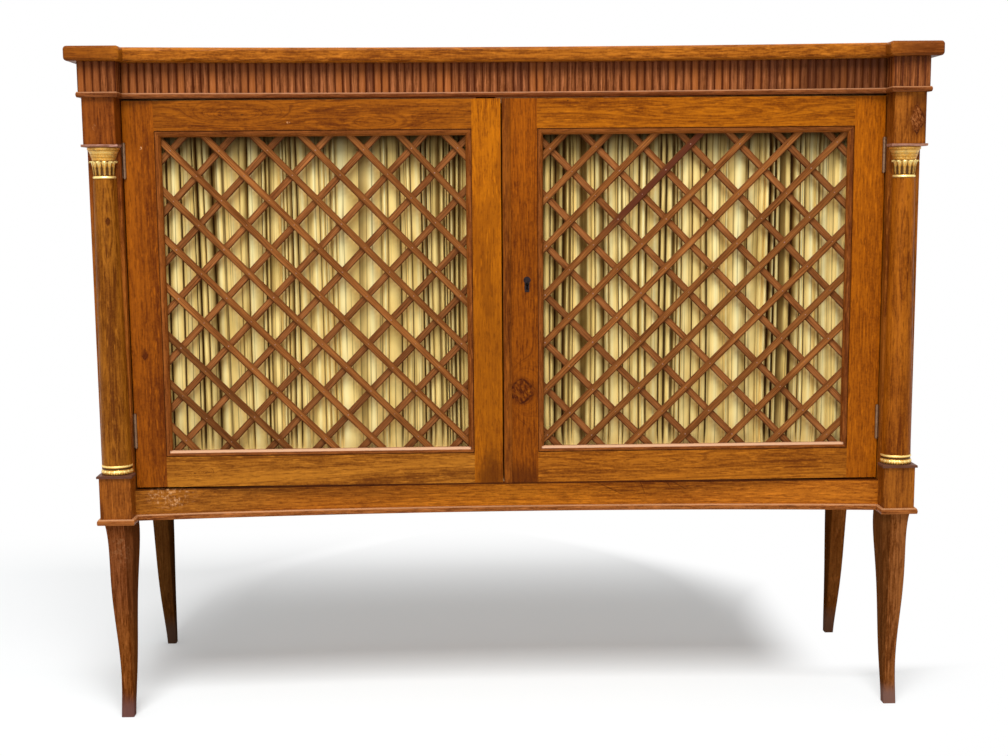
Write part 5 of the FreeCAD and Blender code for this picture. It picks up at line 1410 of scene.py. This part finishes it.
class CABINET_OT_column_bases(bpy.types.Operator):
    """Gilt column bases: rings and a leafy torus"""
    bl_idname = "cabinet.column_bases"
    bl_label = "Column bases"

    def execute(self, context):
        look = context.scene.cabinet_gilt
        material = gilding("gilt_bases", look)
        for side in ("left", "right"):
            rings, centre = turned_part("column_bases", side, RINGS, material)
            leaf_ring("base_leaves", side, leaf_mesh("base_leaf", PETAL, ribs=7), centre, look.base_leaves,
                      BASE_SPREAD, material, BASE_LEAF)
            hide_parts("column_bases")
        return {"FINISHED"}


def gilding(name, look):
    """Gold leaf, with a painted highlight on what stands proud and painted shade with dust in the recesses"""
    finish = Finish(name)
    point = finish.place()
    recess = finish.attribute("recess")
    rubbed = finish.step(finish.noise(point, 150.0, 4.0), 0.54, 0.70)
    dust = finish.noise(point, 620.0, 3.0)
    gold, worn = tuple(look.gold), tuple(look.worn)
    tone = finish.blend(finish.step(dust, 0.42, 0.70) * 0.5, gold, tuple(look.bright))
    tone = finish.blend(rubbed * 0.35, tone, worn)
    # Painted highlight on what stands proud
    tone = finish.blend(finish.step(recess + (dust - 0.5) * 0.3, 0.04, -0.50), tone, tuple(look.bright))
    # Painted shade with dust in the recesses
    tone = finish.blend(finish.step(recess + (dust - 0.5) * 0.3, 0.15, 0.70) * 0.95, tone, worn)
    rough = 0.34 + dust * 0.2 + recess * 0.2
    return finish.surface({"Base Color": tone, "Metallic": 0.62 - rubbed * 0.3, "Roughness": rough},
                          height=dust * 0.6 + rubbed * 0.4, depth=0.0002)


def metal(name, colour, rough=0.42, metallic=0.9):
    """Metal with darker spots and a film of age"""
    finish = Finish(name)
    point = finish.place()
    spots = finish.noise(point, 260.0, 4.0)
    film = finish.noise(point, 45.0, 2.0)
    tone = finish.blend(finish.step(spots, 0.48, 0.72) * 0.6, colour, scaled(colour, 0.35, 0.30, 0.26))
    tone = finish.blend(finish.step(film, 0.4, 0.7) * 0.4, tone, scaled(colour, 0.7, 0.62, 0.5))
    return finish.surface({"Base Color": tone, "Metallic": metallic, "Roughness": rough + spots * 0.2},
                          height=spots, depth=0.0001)


class CABINET_OT_metalwork(bpy.types.Operator):
    """Hinges, pins, screws, bolts, lock and keyhole"""
    bl_idname = "cabinet.metalwork"
    bl_label = "Metalwork"

    def execute(self, context):
        look = context.scene.cabinet_metal
        brass = metal("brass", tuple(look.brass))
        steel = metal("steel", tuple(look.steel), rough=0.5)
        for name in ("case_hinge_leaves", "left_hinge_leaves", "right_hinge_leaves", "hinge_pins", "bolt_keepers",
                     "bolt_guides", "top_bolt", "bottom_bolt", "lock_strike"):
            finish_node(name, brass)
        for name in ("case_hinge_screws", "left_hinge_screws", "right_hinge_screws", "lock_case", "lock_bolt"):
            finish_node(name, steel)
        finish_node("keyhole_escutcheon", metal("blued_steel", tuple(look.blued), rough=0.3))
        return {"FINISHED"}


OPERATORS = (CABINET_OT_stage, CABINET_OT_case_woods, CABINET_OT_door_woods, CABINET_OT_lattice,
             CABINET_OT_curtains, CABINET_OT_capitals, CABINET_OT_column_bases, CABINET_OT_metalwork)


class CABINET_PT_panel(bpy.types.Panel):
    """Lists the pieces that can be made"""
    bl_label = "Side Cabinet"
    bl_idname = "CABINET_PT_panel"
    bl_space_type = "VIEW_3D"
    bl_region_type = "UI"
    bl_category = "Side Cabinet"

    def draw(self, context):
        for operator in OPERATORS:
            self.layout.operator(operator.bl_idname)


GROUPS = {"cabinet_stage": CabinetStage, "cabinet_wood": CabinetWood, "cabinet_silk": CabinetSilk,
          "cabinet_gilt": CabinetGilt, "cabinet_metal": CabinetMetal}


def register():
    for name, group in GROUPS.items():
        bpy.utils.register_class(group)
        setattr(bpy.types.Scene, name, bpy.props.PointerProperty(type=group))
    for operator in OPERATORS:
        bpy.utils.register_class(operator)
    bpy.utils.register_class(CABINET_PT_panel)


def unregister():
    bpy.utils.unregister_class(CABINET_PT_panel)
    for operator in reversed(OPERATORS):
        bpy.utils.unregister_class(operator)
    for name, group in reversed(GROUPS.items()):
        delattr(bpy.types.Scene, name)
        bpy.utils.unregister_class(group)


def main():
    register()
    bpy.ops.cabinet.stage()
    bpy.ops.cabinet.case_woods()
    bpy.ops.cabinet.door_woods()
    bpy.ops.cabinet.lattice()
    bpy.ops.cabinet.curtains()
    bpy.ops.cabinet.capitals()
    bpy.ops.cabinet.column_bases()
    bpy.ops.cabinet.metalwork()


if __name__ == "__main__":
    main()
